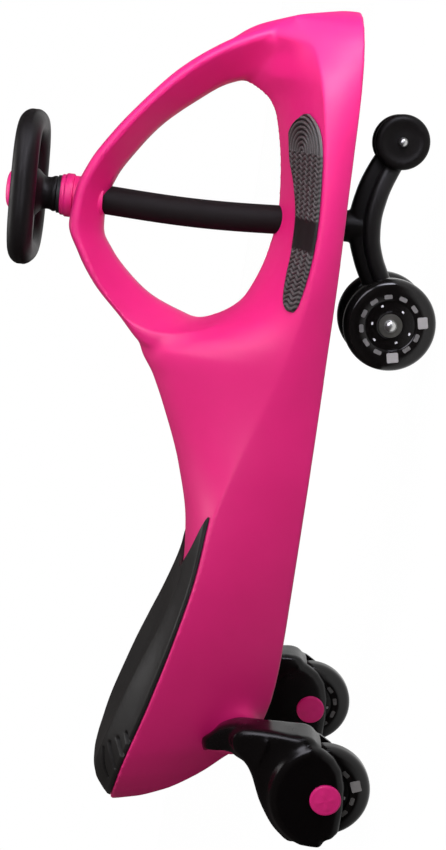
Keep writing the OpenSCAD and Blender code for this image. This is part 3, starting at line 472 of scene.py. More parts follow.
def ramp(nodes, links, source, low, high, low_at=NOISE_LOW, high_at=NOISE_HIGH):
    """A colour that runs from low to high with a source."""
    node = nodes.new("ShaderNodeValToRGB")
    node.color_ramp.elements[0].position = low_at
    node.color_ramp.elements[1].position = high_at
    node.color_ramp.elements[0].color = (*low, 1)
    node.color_ramp.elements[1].color = (*high, 1)
    links.new(source, node.inputs["Fac"])
    return node.outputs["Color"]


def span(nodes, links, source, low, high, low_at=NOISE_LOW, high_at=NOISE_HIGH):
    """A number that runs from low to high with a source."""
    node = nodes.new("ShaderNodeMapRange")
    node.inputs["From Min"].default_value = low_at
    node.inputs["From Max"].default_value = high_at
    node.inputs["To Min"].default_value = low
    node.inputs["To Max"].default_value = high
    links.new(source, node.inputs["Value"])
    return node.outputs["Result"]


def moulded(name, dark, light, rough, grain, grain_scale=900, shine=0.5, metal=0.0):
    """A moulded surface: two close colours in soft clouds, uneven gloss and a fine grain."""
    mat, nodes, links, shader = node_material(name)
    clouds = noise(nodes, links, CLOUD_SCALE, 3)
    links.new(ramp(nodes, links, clouds, dark, light), shader.inputs["Base Color"])
    wear = noise(nodes, links, WEAR_SCALE, 5)
    links.new(span(nodes, links, wear, *rough), shader.inputs["Roughness"])
    fine = noise(nodes, links, grain_scale, 2)
    bump = nodes.new("ShaderNodeBump")
    bump.inputs["Strength"].default_value = grain
    bump.inputs["Distance"].default_value = GRAIN_DEPTH
    links.new(fine, bump.inputs["Height"])
    links.new(bump.outputs["Normal"], shader.inputs["Normal"])
    shader.inputs["Specular IOR Level"].default_value = shine
    shader.inputs["Metallic"].default_value = metal
    return mat


def shade_low_points(material, valley):
    """Blends a material into a darker colour where the points of its object lie low: painted shade in its
    hollows.
    """
    nodes, links = material.node_tree.nodes, material.node_tree.links
    base = nodes["Principled BSDF"].inputs["Base Color"]
    height = nodes.new("ShaderNodeAttribute")
    height.attribute_name = "height"
    blend = nodes.new("ShaderNodeMix")
    blend.data_type = "RGBA"
    blend.inputs[6].default_value = (*valley, 1)
    links.new(height.outputs["Fac"], blend.inputs[0])
    links.new(base.links[0].from_socket, blend.inputs[7])
    links.new(blend.outputs[2], base)


PINK = moulded("pink satin moulding", (0.69, 0.010, 0.165), (0.75, 0.013, 0.185),
               rough=(0.44, 0.54), grain=0.10, grain_scale=700, shine=0.42)
# The caps' glossy pink is set brighter than the body's to make up for light the rear lacks: partly their own
# tone, partly painted light.
CAP_PAINTED_LIGHT = moulded("pink gloss cap with painted light", (0.80, 0.014, 0.215), (0.86, 0.017, 0.235),
              rough=(0.34, 0.42), grain=0.06, grain_scale=900, shine=0.4)
SEAT = moulded("black satin seat", (0.012, 0.0112, 0.0106), (0.016, 0.015, 0.014),
               rough=(0.34, 0.44), grain=0.2, grain_scale=1400, shine=0.4)
# The mat's grey is the colour of its rib tops: partly its own tone, partly a painted highlight on the lit
# crests.
PAD = moulded("black ribbed mat", (0.085, 0.08, 0.076), (0.11, 0.104, 0.10),
              rough=(0.40, 0.50), grain=0.2, grain_scale=1500, shine=0.4)
BLACK = moulded("black moulding", (0.003, 0.0022, 0.0022), (0.0042, 0.0034, 0.0034),
                rough=(0.20, 0.28), grain=0.06, grain_scale=1100, shine=0.3)
ARM = moulded("black arm moulding", (0.005, 0.004, 0.004), (0.0075, 0.0065, 0.006),
              rough=(0.32, 0.42), grain=0.16, grain_scale=1100, shine=0.25)
SLEEVE = moulded("matt black tube", (0.0075, 0.0058, 0.0056), (0.0095, 0.0076, 0.0074),
                 rough=(0.55, 0.66), grain=0.3, grain_scale=1300, shine=0.1)
GRIP = moulded("black grip", (0.006, 0.005, 0.005), (0.009, 0.0075, 0.0075),
               rough=(0.40, 0.50), grain=0.3, grain_scale=1500, shine=0.24)
TYRE = moulded("dark clear polyurethane", (0.0032, 0.0026, 0.0024), (0.005, 0.0042, 0.004),
               rough=(0.10, 0.18), grain=0.03, grain_scale=300, shine=0.4)
WHITE = moulded("milky window", (0.20, 0.20, 0.19), (0.44, 0.435, 0.42),
                rough=(0.25, 0.35), grain=0.08, grain_scale=900)
SMOKY = moulded("smoky window", (0.055, 0.054, 0.05), (0.20, 0.197, 0.19),
                rough=(0.25, 0.35), grain=0.08, grain_scale=900)
ROLLER = moulded("black roller", (0.004, 0.0032, 0.003), (0.006, 0.005, 0.0047),
                 rough=(0.36, 0.46), grain=0.12, grain_scale=1200, shine=0.12)
STEEL = moulded("zinc plated steel", (0.50, 0.50, 0.49), (0.66, 0.66, 0.65),
                rough=(0.22, 0.36), grain=0.15, grain_scale=500, shine=0.5, metal=1.0)
BEARING = moulded("dull bearing steel", (0.10, 0.10, 0.092), (0.18, 0.175, 0.16),
                  rough=(0.32, 0.46), grain=0.15, grain_scale=500, shine=0.5, metal=1.0)
# A darker, duller copy of the arm's black for its upper web: painted shade.
ARM_WEB_SHADE_MATERIAL = moulded("arm web moulding in painted shade", (0.003, 0.0024, 0.0022), (0.0045, 0.0038, 0.0035),
               rough=(0.42, 0.52), grain=0.12, grain_scale=1100, shine=0.12)
NYLON = moulded("black nylon", (0.012, 0.012, 0.0125), (0.018, 0.018, 0.018),
                rough=(0.4, 0.5), grain=0.1, grain_scale=900, shine=0.3)
ACETAL = moulded("white acetal", (0.7, 0.7, 0.68), (0.8, 0.8, 0.78),
                 rough=(0.35, 0.45), grain=0.05, grain_scale=900)
MAGNET = moulded("grey magnet", (0.12, 0.12, 0.125), (0.18, 0.18, 0.185),
                 rough=(0.4, 0.55), grain=0.2, grain_scale=700, shine=0.5, metal=0.6)
LIGHT = moulded("light board", (0.45, 0.46, 0.47), (0.7, 0.71, 0.72),
                rough=(0.2, 0.3), grain=0.08, grain_scale=700)

# Body: hull, handle arch and the pads of the rear housings in one skin, blended softly where they meet
HULL_END = 0.996
HULL_STEPS = 320
ARCH_STEPS = 168
HORN_PAD = [(0, 50), (25, 50), (25, 79), (20, 84), (0, 84)]
HORN_PAD_X = -278
HORN_PAD_Z = 133
BODY_VOXEL = 1.6
PAN_INSET = 3.9
PAN_ROOM = 5
PAN_FROM = 0.1995
PAN_TO = 0.9605
PAN_STEPS = 60
BORE_R = 9.5
BORE_FROM = -15
BORE_TO = 262


def pan_ring(s):
    """One section of the room that the underside pan takes up in the body."""
    y = keel_y(s) - PAN_INSET
    low, high = keel_z(s) - PAN_ROOM, keel_z(s) + PAN_ROOM
    return [(along(s), -y, low), (along(s), y, low), (along(s), y, high), (along(s), -y, high)]


hull = loft([hull_ring(HULL_END * i / HULL_STEPS) for i in range(HULL_STEPS + 1)])
arch = loft([arch_ring((len(ARCH_OUTER) - 1) * i / ARCH_STEPS) for i in range(ARCH_STEPS + 1)])
pads = [lathe(HORN_PAD, 64, on_wheel(HORN_PAD_X, 0, HORN_PAD_Z, side)) for side in (-1, 1)]
body = fuse("body_skin", [hull, arch] + pads, BODY_VOXEL, 2)
fill_valleys(body, 16, 12)
soften(body, 3)
carve(body, loft([pan_ring(mix(PAN_FROM, PAN_TO, i / PAN_STEPS)) for i in range(PAN_STEPS + 1)]))
carve(body, lathe([(0, BORE_FROM), (BORE_R, BORE_FROM), (BORE_R, BORE_TO), (0, BORE_TO)], 64, COLUMN))
finish_piece(body, PINK, "car_body", "body_pink", "body_shell")

# Seat: a satin moulding on the body's deck, with two prongs, a crisp crest on each side and grip slots
SEAT_LIP = 4
SEAT_EDGE = 3
SEAT_CREST = 21
SKIN_GAP = 0.9
SEAT_FROM = 0.025
TONGUE = 0.320
PRONG = 0.407
TONGUE_POWER = 3
CREST_PLACE = 0.66
SEAT_CREST_SHARES = [
    (0, 0.10), (0.015, 0.20), (0.035, 0.46), (0.06, 0.84), (0.085, 1), (0.16, 0.98), (0.22, 0.82),
    (0.27, 0.56), (0.313, 0.36), (0.355, 0.22), (0.41, 0.12),
]
SEAT_MIDDLE_SHARES = [
    (0, 0.10), (0.015, 0.22), (0.035, 0.66), (0.055, 0.97), (0.075, 1.06), (0.10, 0.86), (0.14, 0.46),
    (0.2, 0.26), (0.27, 0.18), (0.41, 0.12),
]
# Grip slots on the rear flanks, each from its front end to its rear end
SLOTS = [
    ((-316, 72), (-340, 80)), ((-307, 79), (-325, 94)), ((-298, 88), (-308, 101)), ((-289, 96), (-294, 103)),
]
SLOT_HALF = 1.7
SLOT_SOFT = 0.6
SLOT_DEPTH = 3
# Rounding of the seat's edge and the fall towards its ends
ROUND_DEPTH = 0.6 * SEAT_EDGE
ROUND_W = 2.2
PRONG_TIP = 3
TAIL_TIP = 2
TAIL_START = 0.35
TIP_SHARE = 0.4
SEAT_LEAST = 0.5
SEAT_STEPS = 220
PRONG_STEPS = 90
SEAT_SLOT_SHADE_COLOUR = (0.0025, 0.0022, 0.002)
SLOT_SHADE = 1.6


def seat_thick(s, y):
    """Thickness of the seat: a hollow middle, a crest on each side and a slope to the edge."""
    w = crease_y(s) - SEAT_LIP
    q = abs(y) / w
    crest = SEAT_CREST * smooth(SEAT_CREST_SHARES, s)
    middle = SEAT_CREST * smooth(SEAT_MIDDLE_SHARES, s)
    edge = min(SEAT_EDGE, crest)
    if q < CREST_PLACE:
        return smooth([(0, middle), (0.25, mix(middle, crest, 0.2)), (CREST_PLACE, crest)], q)
    t = (q - CREST_PLACE) / (1 - CREST_PLACE)
    return mix(crest, edge, mix(t, ease(t), 0.35))


def slot_cut(x, y):
    """Depth of the grip slots at a place on the seat."""
    deepest = 0
    for start, end in SLOTS:
        run = Vector(end) - Vector(start)
        way = Vector((x, abs(y))) - Vector(start)
        share = min(1, max(0, way.dot(run) / run.length_squared))
        reach = (way - run * share).length
        deepest = max(deepest, SLOT_DEPTH * ease((SLOT_HALF + SLOT_SOFT - reach) / (2 * SLOT_SOFT)))
    return deepest


def seat_strip(s, side, across=84):
    """Bottom and top of one half of the seat at a station, from its inner edge out and back."""
    x = along(s)
    edge = crease_y(s) - SEAT_LIP
    inner = edge * (max(0, s - TONGUE) / (PRONG - TONGUE)) ** (1 / TONGUE_POWER)
    outer = max(inner + 0.2, edge)
    low, high = [], []
    for i in range(across + 1):
        y = mix(inner, outer, i / across)
        base = roof_z(s, y) + SKIN_GAP
        near = min(outer - y, y - inner if inner > 0 else outer)
        round_off = ROUND_DEPTH * (1 - ease(near / ROUND_W)) ** 2
        prong_end = (PRONG - s) * BODY_LENGTH / PRONG_TIP
        tail_end = (s - SEAT_FROM) * BODY_LENGTH / TAIL_TIP + TAIL_START
        fall = mix(TIP_SHARE, 1, ease(min(1, prong_end, tail_end)))
        top = max(SEAT_LEAST, (seat_thick(s, y) - round_off - slot_cut(x, y)) * fall)
        low.append((x, side * y, base))
        high.append((x, side * y, base + top))
    return low + high[::-1]


def seat_mesh():
    """Both halves of the seat, joined along the middle behind the notch between the prongs."""
    stations = [mix(SEAT_FROM, TONGUE, i / SEAT_STEPS) for i in range(SEAT_STEPS)]
    stations += [mix(TONGUE, PRONG, (i / PRONG_STEPS) ** TONGUE_POWER) for i in range(PRONG_STEPS)]
    points, faces = [], []
    for side in (-1, 1):
        base = len(points)
        strips = [seat_strip(s, side) for s in stations]
        n = len(strips[0])
        points += [p for strip in strips for p in strip]
        for i in range(len(strips) - 1):
            for j in range(n):
                if j == n - 1 and stations[i] < TONGUE:
                    continue
                k = (j + 1) % n
                a, b = base + i * n, base + (i + 1) * n
                faces.append((a + j, a + k, b + k, b + j))
        faces.append(tuple(base + j for j in range(n)))
        faces.append(tuple(base + (len(strips) - 1) * n + j for j in range(n)))
    return points, faces


# The grip slots darken towards near black with their depth: painted shade.
shade_low_points(SEAT, SEAT_SLOT_SHADE_COLOUR)
seat = add("seat_moulding", seat_mesh(), 35)
set_heights(seat, lambda x, y: 1 - ease(SLOT_SHADE * slot_cut(x, y) / SLOT_DEPTH))
finish_piece(seat, SEAT, "car_body", "seat_black", "seat_pad")

# Foot pads: a flat rim round wavy treads, arcs at the toe and a plain band under the arch of the foot
PAD_PLAN = [
    (0.653, 0.70, 0.745), (0.660, 0.64, 0.768), (0.676, 0.573, 0.792), (0.70, 0.505, 0.822),
    (0.73, 0.452, 0.848), (0.763, 0.418, 0.860), (0.794, 0.342, 0.862), (0.827, 0.235, 0.855),
    (0.849, 0.237, 0.825), (0.862, 0.325, 0.765), (0.870, 0.44, 0.675), (0.875, 0.53, 0.585),
]
PAD_T = 2.2
RIB_H = 1.6
RIB_PITCH = 4.4
WAVE = 11.0
WAVE_REACH = 1.5
RIM_W = 2.6
RIM_STEP = 1.2
PLAIN = (176, 204)
PLAIN_STEP = 4
TOE = (262, 56)
TOE_STRETCH = 0.95
RIB_STEEPNESS = 0.9
TREAD_SINK = 0.7
PAD_ROUND = 1.6
PAD_EDGE_SHARE = 0.25
PAD_LEAST = 0.4
PAD_STEPS = 420
PAD_TREAD_SHADE_COLOUR = (0.012, 0.011, 0.0105)


def tread(x, y):
    """Height of the pad's treads, from 0 in a valley to 1 on a rib."""
    if x > TOE[0]:
        run = math.hypot(x - TOE[0], (y - TOE[1]) * TOE_STRETCH)
    else:
        run = x - TOE[0] + WAVE_REACH * math.sin(TAU * y / WAVE)
    rib = ease(0.5 + RIB_STEEPNESS * math.cos(TAU * run / RIB_PITCH))
    plain = ease((x - PLAIN[0]) / PLAIN_STEP + 0.5) * ease((PLAIN[1] - x) / PLAIN_STEP + 0.5)
    return rib * (1 - plain)


def pad_strip(s, side, across=96):
    """Bottom and top of a foot pad at a station, from its inner edge out and back."""
    inner = half(smooth([(p[0], p[1]) for p in PAD_PLAN], s))
    outer = half(smooth([(p[0], p[2]) for p in PAD_PLAN], s))
    x = along(s)
    ends = min(s - PAD_PLAN[0][0], PAD_PLAN[-1][0] - s) * BODY_LENGTH
    low, high = [], []
    for i in range(across + 1):
        y = mix(inner, outer, i / across)
        base = roof_z(s, y) + SKIN_GAP
        near = min(y - inner, outer - y, ends)
        ribbed = ease((near - RIM_W) / RIM_STEP)
        rim = PAD_T * ease(near / PAD_ROUND + PAD_EDGE_SHARE)
        top = rim - TREAD_SINK * ribbed + RIB_H * ribbed * tread(x, y)
        low.append((x, side * y, base))
        high.append((x, side * y, base + max(PAD_LEAST, top)))
    return low + high[::-1]


# The tread valleys darken towards near black by height: painted shade. The paler rib tops are partly a
# painted highlight.
shade_low_points(PAD, PAD_TREAD_SHADE_COLOUR)
pad_stations = [mix(PAD_PLAN[0][0], PAD_PLAN[-1][0], i / PAD_STEPS) for i in range(PAD_STEPS + 1)]
for side, word in SIDES:
    strips = [pad_strip(s, side) for s in pad_stations]
    pad = add(f"foot_mat_{word}", loft(strips), 45)
    set_heights(pad, tread)
    finish_piece(pad, PAD, "car_body", "pad_rubber", f"foot_pad_{word}")

# Collar on the arch, and the bowed sleeve of the column
COLLAR = [
    (12.2, 226), (18.6, 226), (18.6, 253.6), (19.9, 254.4), (20.2, 255.2), (20.2, 260.8), (19.8, 261.6),
    (19.2, 261.9), (18.9, 262.4), (18.9, 264.9), (18.4, 265.7), (17.6, 266), (12.2, 266), (12.2, 226),
]
finish_piece(add("arch_collar", lathe(COLLAR, 96, COLUMN), 30), PINK, "car_body", "body_pink")

SLEEVE_FROM = 34.5
SLEEVE_TO = 237.9
SLEEVE_R = 13.5
SLEEVE_BORE_R = 9.1
SLEEVE_BOW = 3.6
BOW_POWER = 1.2
SLEEVE_STEPS = 48


def circle(radius, x, h, steps=64):
    turns = [TAU * i / steps for i in range(steps)]
    return [(x + radius * math.cos(a), radius * math.sin(a), h) for a in turns]


heights = [mix(SLEEVE_FROM, SLEEVE_TO, i / SLEEVE_STEPS) for i in range(SLEEVE_STEPS + 1)]
bows = [-SLEEVE_BOW * math.sin(math.pi * i / SLEEVE_STEPS) ** BOW_POWER for i in range(SLEEVE_STEPS + 1)]
tube = [circle(SLEEVE_R, b, h) for b, h in zip(bows, heights)]
tube += [circle(SLEEVE_BORE_R, 0, h) for h in reversed(heights)]
finish_piece(add("column_tube", moved(loft(tube, True), COLUMN), 40), SLEEVE, "car_body", "sleeve_black",
             "column_sleeve")

# Steering wheel: a fat rounded-square rim on three spokes, a boss and a stepped neck
RIM_A = 60.25
RIM_B = 53.25
GRIP_R = 11.75
RIM_AHEAD = 4
RIM_POWER = 3.2
RIM_STEPS = 144
RIM_TANGENT = 0.01
SEAM_DEPTH = 0.7
SEAM_W = 0.05
SPOKE_W = 32
SPOKE_H = 13
SPOKE_POWER = 4
NECK_FROM = 269.3
GRIP_VOXEL = 1.15


def rim_point(a):
    u, v = squircle(a, RIM_POWER)
    return Vector((RIM_AHEAD + RIM_A * u, RIM_B * v, RIM_H))


def rim_ring(a, steps=32):
    """One section of the rim at a turn, with the seam of the mould along its outside."""
    here = rim_point(a)
    run = (rim_point(a + RIM_TANGENT) - rim_point(a - RIM_TANGENT)).normalized()
    out = run.cross(Vector((0, 0, 1)))
    ring = []
    for k in range(steps):
        b = TAU * k / steps
        groove = SEAM_DEPTH * math.exp(-(math.sin(b) / SEAM_W) ** 2) if math.cos(b) > 0 else 0
        r = GRIP_R - groove
        ring.append(tuple(here + out * r * math.cos(b) + Vector((0, 0, r * math.sin(b)))))
    return ring


def bar(start, end, steps=40):
    """A straight spoke with a rounded-rectangle section, from one place to another at the same height."""
    start, end = Vector(start), Vector(end)
    side_way = (end - start).normalized().cross(Vector((0, 0, 1)))
    section = []
    for k in range(steps):
        u, v = squircle(TAU * k / steps, SPOKE_POWER)
        section.append((u * SPOKE_W / 2, v * SPOKE_H / 2))
    return loft([[tuple(p + side_way * u + Vector((0, 0, v))) for u, v in section] for p in (start, end)])


rim = loft([rim_ring(TAU * i / RIM_STEPS) for i in range(RIM_STEPS)], True)
neck = lathe([
    (0, NECK_FROM), (16.2, NECK_FROM), (16.6, NECK_FROM + 0.6), (16.6, NECK_FROM + 4), (15.2, NECK_FROM + 5),
    (14.8, NECK_FROM + 9), (15.6, NECK_FROM + 13), (19, NECK_FROM + 16.5), (21.5, RIM_H - 8), (22, RIM_H),
    (21.6, RIM_H + 9), (20.6, RIM_H + 11.2), (19.4, RIM_H + 11.75), (0, RIM_H + 11.75),
], 96)
spokes = [
    bar((0, -RIM_B, RIM_H), (0, RIM_B, RIM_H)),
    bar((RIM_AHEAD - RIM_A, 0, RIM_H), (0, 0, RIM_H)),
]
wheel = fuse("steering_grip", [moved(m, COLUMN) for m in [rim, neck] + spokes], GRIP_VOXEL, 4)
finish_piece(wheel, GRIP, "steering", "wheel_black", "steering_wheel")

# Front arm: a curved bar with a fuller lower half, a boss under the body and a slim tongue to the rollers.
# Its line gives place, height and width, and its depth goes by the number of a place on the line.
ARM_LINE = [
    (118, 43, 39.4), (134, 48.2, 39.4), (152, 57.5, 39.4), (172, 68.2, 39.4), (192, 75, 39.4),
    (211, 77.2, 38.6), (234, 74.2, 33), (257, 67, 24), (272, 60.4, 16.5), (ROLLER_X, ROLLER_Z, 14.6),
]
ARM_DEPTH = [(0, 26), (3, 27), (5, 30), (7, 29), (9, 25)]
ARM_END = len(ARM_LINE) - 1
ARM_POWER = 3.4
ARM_TANGENT = 0.02
ARM_STEPS = 72
ARM_VOXEL = 1.2
FRONT_EYE = [(0, -19.7), (12, -19.7), (15, -17), (15, 17), (12, 19.7), (0, 19.7)]
ROLLER_EYE = [(0, -7.3), (11, -7.3), (13, -5.5), (13, 5.5), (11, 7.3), (0, 7.3)]
BOSS = [(0, -29), (12, -29), (14, -27), (14.8, -16), (14.8, -1), (14.2, 0.6), (0, 0.6)]
NUT_ROOM = [(0, -40), (12.1, -40), (12.1, -19.5), (0, -19.5)]


def arm_place(u, k):
    return smooth(numbered([p[k] for p in ARM_LINE]), u)


def arm_ring(u, width_share, top_share, bottom_share, steps=40):
    """A rounded-rectangle section of the arm at place u, over part of its depth."""
    x, z, w = (arm_place(u, k) for k in range(3))
    x1, z1 = (arm_place(min(u + ARM_TANGENT, ARM_END), k) for k in (0, 1))
    x0, z0 = (arm_place(max(u - ARM_TANGENT, 0), k) for k in (0, 1))
    run = Vector((x1 - x0, 0, z1 - z0)).normalized()
    up = Vector((-run.z, 0, run.x))
    depth = smooth(ARM_DEPTH, u)
    top, bottom = depth * top_share, depth * bottom_share
    middle = Vector((x, 0, z)) + up * (top + bottom) / 2
    ring = []
    for k in range(steps):
        c, s = squircle(TAU * k / steps, ARM_POWER)
        ring.append(tuple(middle + Vector((0, c * w * width_share / 2, 0)) + up * s * (top - bottom) / 2))
    return ring


arm_stations = [ARM_END * i / ARM_STEPS for i in range(ARM_STEPS + 1)]
arm_low = loft([arm_ring(u, 1, 0.12, -0.5) for u in arm_stations])
arm_web = loft([arm_ring(u, 0.66, 0.5, -0.3) for u in arm_stations])
eyes = [
    lathe(FRONT_EYE, 64, on_wheel(FRONT_X, 0, AXLE_Z, 1)),
    lathe(ROLLER_EYE, 64, on_wheel(ROLLER_X, 0, ROLLER_Z, 1)),
]
boss = lathe(BOSS, 64, COLUMN)
nut_room = lathe(NUT_ROOM, 48, COLUMN)
arm = fuse("steering_arm", [arm_low] + eyes, ARM_VOXEL, 5)
carve(arm, nut_room)
finish_piece(arm, ARM, "steering", "arm_black", "front_arm")
# The web takes the darker copy of the arm's black: painted shade on the arm's upper half.
web = fuse("steering_web", [arm_web, boss], ARM_VOXEL, 5)
carve(web, nut_room)
finish_piece(web, ARM_WEB_SHADE_MATERIAL, "steering", "arm_black")

# Rollers: dished discs with a round tread
ROLLER_Y = 13.8
DISC = [
    (4.1, -6), (19, -6), (22.5, -5.4), (24.6, -3.6), (25.5, -1), (25.5, 1), (24.9, 3.2), (23.4, 4.9),
    (21.4, 5.7), (19.4, 5.9), (17.8, 5.6), (16.2, 5.1), (13.5, 4.7), (9.5, 4.6), (6.8, 4.8), (4.1, 4.9),
    (4.1, -6),
]
for side, word in SIDES:
    at = on_wheel(ROLLER_X, side * ROLLER_Y, ROLLER_Z, side)
    disc = add(f"roller_disc_{word}", lathe(DISC, 96, at), 50)
    finish_piece(disc, ROLLER, f"roller_{word}", "roller_black", f"roller_{word}")

# Bolts of the rollers and of the front wheels, with domed heads on the right: share of the radius, height
SHANK_R = 3.97
BOLT_HEAD = [(1.04, 0), (1.04, 0.6), (1, 1), (0.96, 2), (0.8, 3.2), (0.55, 4.1), (0.28, 4.5), (0, 4.6)]


def domed_bolt(name, x, z, seat, end, head_r, node):
    """A bolt along Y, from its plain end on the left to the head on its seat."""
    profile = [(0, -end), (SHANK_R, -end), (SHANK_R, seat)]
    profile += [(head_r * r, seat + h) for r, h in BOLT_HEAD]
    bolt = add(name, lathe(profile, 64, on_wheel(x, 0, z, -1)), 35)
    finish_piece(bolt, STEEL, "steering", "steel", node)


domed_bolt("roller_bolt", ROLLER_X, ROLLER_Z, 19.6, 26, 4.4, "roller_axle")
domed_bolt("front_bolt", FRONT_X, AXLE_Z, 47.5, 57.2, 5.6, "front_axle")

# Rear wheel housings: a fat round fender cut open below, a neck and a horn that hugs the body
FENDER_R = 51.5
FENDER_ARC = (22, 162)
FENDER_FOOT = [
    (-49.6, 6), (-49.4, -1), (-48, -3.6), (-42, -6.2), (-39, -12.5), (-32, -17.5), (-10, -18.5), (12, -16.5),
    (28, -11.5), (38, -3), (44.5, 8),
]
# Side view of the neck and the path of the horn: middle, then half sizes across the path and along Y
NECK = [
    (-45, 18), (-42, 38), (-20, 56), (5, 68), (16, 76), (26, 88), (38, 92), (47, 84), (51, 66), (52.5, 40),
    (50, 16), (20, 4),
]
NECK_Y = (2, 47)
NECK_LEAN = 0.24
NECK_KNEE = AXLE_Z + 30
HORN = [
    ((-279, 114, 96), 19, 20), ((-275, 106, 112), 18, 19), ((-275, 99, 125), 15, 18),
    ((-278, 95, 137), 12.5, 15), ((-285, 92, 146.5), 8.5, 14), ((-293, 86, 152), 4.5, 8),
    ((-300, 82, 155), 1, 2),
]
HORN_POWER = 4.5
HORN_TANGENT = 0.05
HORN_STEPS = 6
FENDER_STEPS = 64
FORK_VOXEL = 1.35
POCKET_R = 46.5
POCKET_HALF = 16.5
# Rounding of a slab's edge: distance from its face, then how far the outline is drawn in
EDGE = [(0, 6.5), (0.5, 4.4), (1.6, 2.4), (3.4, 0.9), (6, 0)]


def shrunk(outline, d):
    """A closed outline of (x, z) points moved inwards by d."""
    n = len(outline)
    turn = sum(a[0] * b[1] - b[0] * a[1] for a, b in zip(outline, outline[1:] + outline[:1]))
    sign = 1 if turn > 0 else -1
    out = []
    for i in range(n):
        a, b = outline[i - 1], outline[(i + 1) % n]
        run = Vector((b[0] - a[0], b[1] - a[1])).normalized()
        out.append((outline[i][0] - sign * run.y * d, outline[i][1] + sign * run.x * d))
    return out


def rounded_slab(outline, low, high, lean=0):
    """An outline drawn out along Y, with rounded edges. The outer face may lean in above the knee."""
    rings = [[(x, low + y, z) for x, z in shrunk(outline, d)] for y, d in EDGE]
    for y, d in reversed(EDGE):
        rings.append([(x, high - y - lean * max(0, z - NECK_KNEE), z) for x, z in shrunk(outline, d)])
    return loft(rings)


def tapered(path, steps=56):
    """A solid with rounded-rectangle sections along a path in 3-D."""
    last = len(path) - 1
    rings = []

    def middle(u):
        return Vector([smooth(numbered([p[0][k] for p in path]), u) for k in range(3)])

    for i in range(HORN_STEPS * last + 1):
        u = i / HORN_STEPS
        run = (middle(min(u + HORN_TANGENT, last)) - middle(max(u - HORN_TANGENT, 0))).normalized()
        a = smooth(numbered([p[1] for p in path]), u)
        b = smooth(numbered([p[2] for p in path]), u)
        across = Vector((1, 0, 0)) - run * run.x
        across.normalize()
        out = run.cross(across)
        ring = []
        for k in range(steps):
            c, s = squircle(TAU * k / steps, HORN_POWER)
            ring.append(tuple(middle(u) + across * a * c + out * b * s))
        rings.append(ring)
    return loft(rings)


def mirrored(mesh, side):
    """A mesh of the left side, or its mirror image for the right side."""
    if side > 0:
        return mesh
    return [(x, -y, z) for x, y, z in mesh[0]], [tuple(reversed(f)) for f in mesh[1]]


fender_points = []
for i in range(FENDER_STEPS + 1):
    turn = math.radians(mix(*FENDER_ARC, i / FENDER_STEPS))
    fender_points.append((FENDER_R * math.cos(turn), FENDER_R * math.sin(turn)))
fender_points += FENDER_FOOT
fender_outline = [(REAR_X + x, AXLE_Z + z) for x, z in fender_points]
neck_outline = [(REAR_X + x, AXLE_Z + z) for x, z in closed_curve(NECK, 6)]
fender = rounded_slab(fender_outline, FORK_IN_Y, FORK_IN_Y + FORK_W)
neck_slab = rounded_slab(neck_outline, FORK_IN_Y + NECK_Y[0], FORK_IN_Y + NECK_Y[1], NECK_LEAN)
horn = tapered(HORN)
pocket_profile = [(0, -POCKET_HALF), (POCKET_R, -POCKET_HALF), (POCKET_R, POCKET_HALF), (0, POCKET_HALF)]
pocket = lathe(pocket_profile, 96, on_wheel(REAR_X, REAR_Y, AXLE_Z, 1))
for side, word in SIDES:
    solids = [mirrored(m, side) for m in (fender, neck_slab, horn)]
    fork = fuse(f"rear_housing_{word}", solids, FORK_VOXEL, 3)
    fill_valleys(fork, 10, 12)
    soften(fork, 4)
    carve(fork, mirrored(pocket, side))
    finish_piece(fork, BLACK, "car_body", "fork_black", f"rear_fork_{word}")

# Caps on the rear axles: low domes with a bevelled rim and a soft four-armed relief
CAP_R = 14.5
CAP_PROFILE = [
    (0, 0), (CAP_R - 0.4, 0), (CAP_R, 0.4), (CAP_R, 1.5), (CAP_R - 0.5, 2.3), (CAP_R - 1.6, 2.9),
    (CAP_R - 2.6, 3.0), (11, 3.0), (10, 3.1), (8, 3.4), (6, 3.6), (4, 3.75), (2, 3.85), (0, 3.9),
]
CAP_FACE = 2.9
CAP_TURN = 20
RELIEF_H = 0.5
RELIEF_POWER = 4
# Where the relief starts and ends, and over what run it rises and falls
RELIEF_FROM = 1.5
RELIEF_RISE = 2.5
RELIEF_TO = 10.6
RELIEF_FALL = 1.6


def axle_cap(place, side):
    points, faces = lathe(CAP_PROFILE, 96)
    relief = []
    for x, y, z in points:
        lift = 0
        if z > CAP_FACE:
            r = math.hypot(x, y)
            arms = abs(math.cos(2 * math.atan2(y, x))) ** RELIEF_POWER
            inside = ease((r - RELIEF_FROM) / RELIEF_RISE) * ease((RELIEF_TO - r) / RELIEF_FALL)
            lift = RELIEF_H * arms * inside
        relief.append((x, y, z + lift))
    return moved((relief, faces), on_wheel(*place, side) @ turned(CAP_TURN))


for side, word in SIDES:
    outer = axle_cap((REAR_X, side * (FORK_IN_Y + FORK_W), AXLE_Z), side)
    inner = axle_cap((REAR_X, side * FORK_IN_Y, AXLE_Z), -side)
    caps = add(f"axle_caps_{word}", joined(outer, inner), 35)
    finish_piece(caps, CAP_PAINTED_LIGHT, "car_body", "cap_pink", f"rear_caps_{word}")

# Wheels: dark clear tyres over a hub whose lugs show as pale windows, with light chips round the bearing
WINDOW_R = 26.8
WINDOW = (3.9, 7.4)
BIG_WINDOW_R = 29.8
BIG_WINDOW = (9.2, 10.6)
WINDOWS = 12
BIG_WINDOWS = (6, 9)
WINDOW_PROUD = 0.12
LUG_RING = [(23.5, -5), (26, -5), (26, 5), (23.5, 5), (23.5, -5)]
CHIP_R = 19.4
CHIP_SHIFT = 2.6
CHIP = (1.8, 2.6)
CHIP_SINK = 1.4
CHIP_TURNS = (18, 78, 127, 195, 241, 312)
FINS = 24
FIN_R = 17.8
FIN = (9.4, 1.0)
FIN_SINK = 2
BEVEL = 0.8
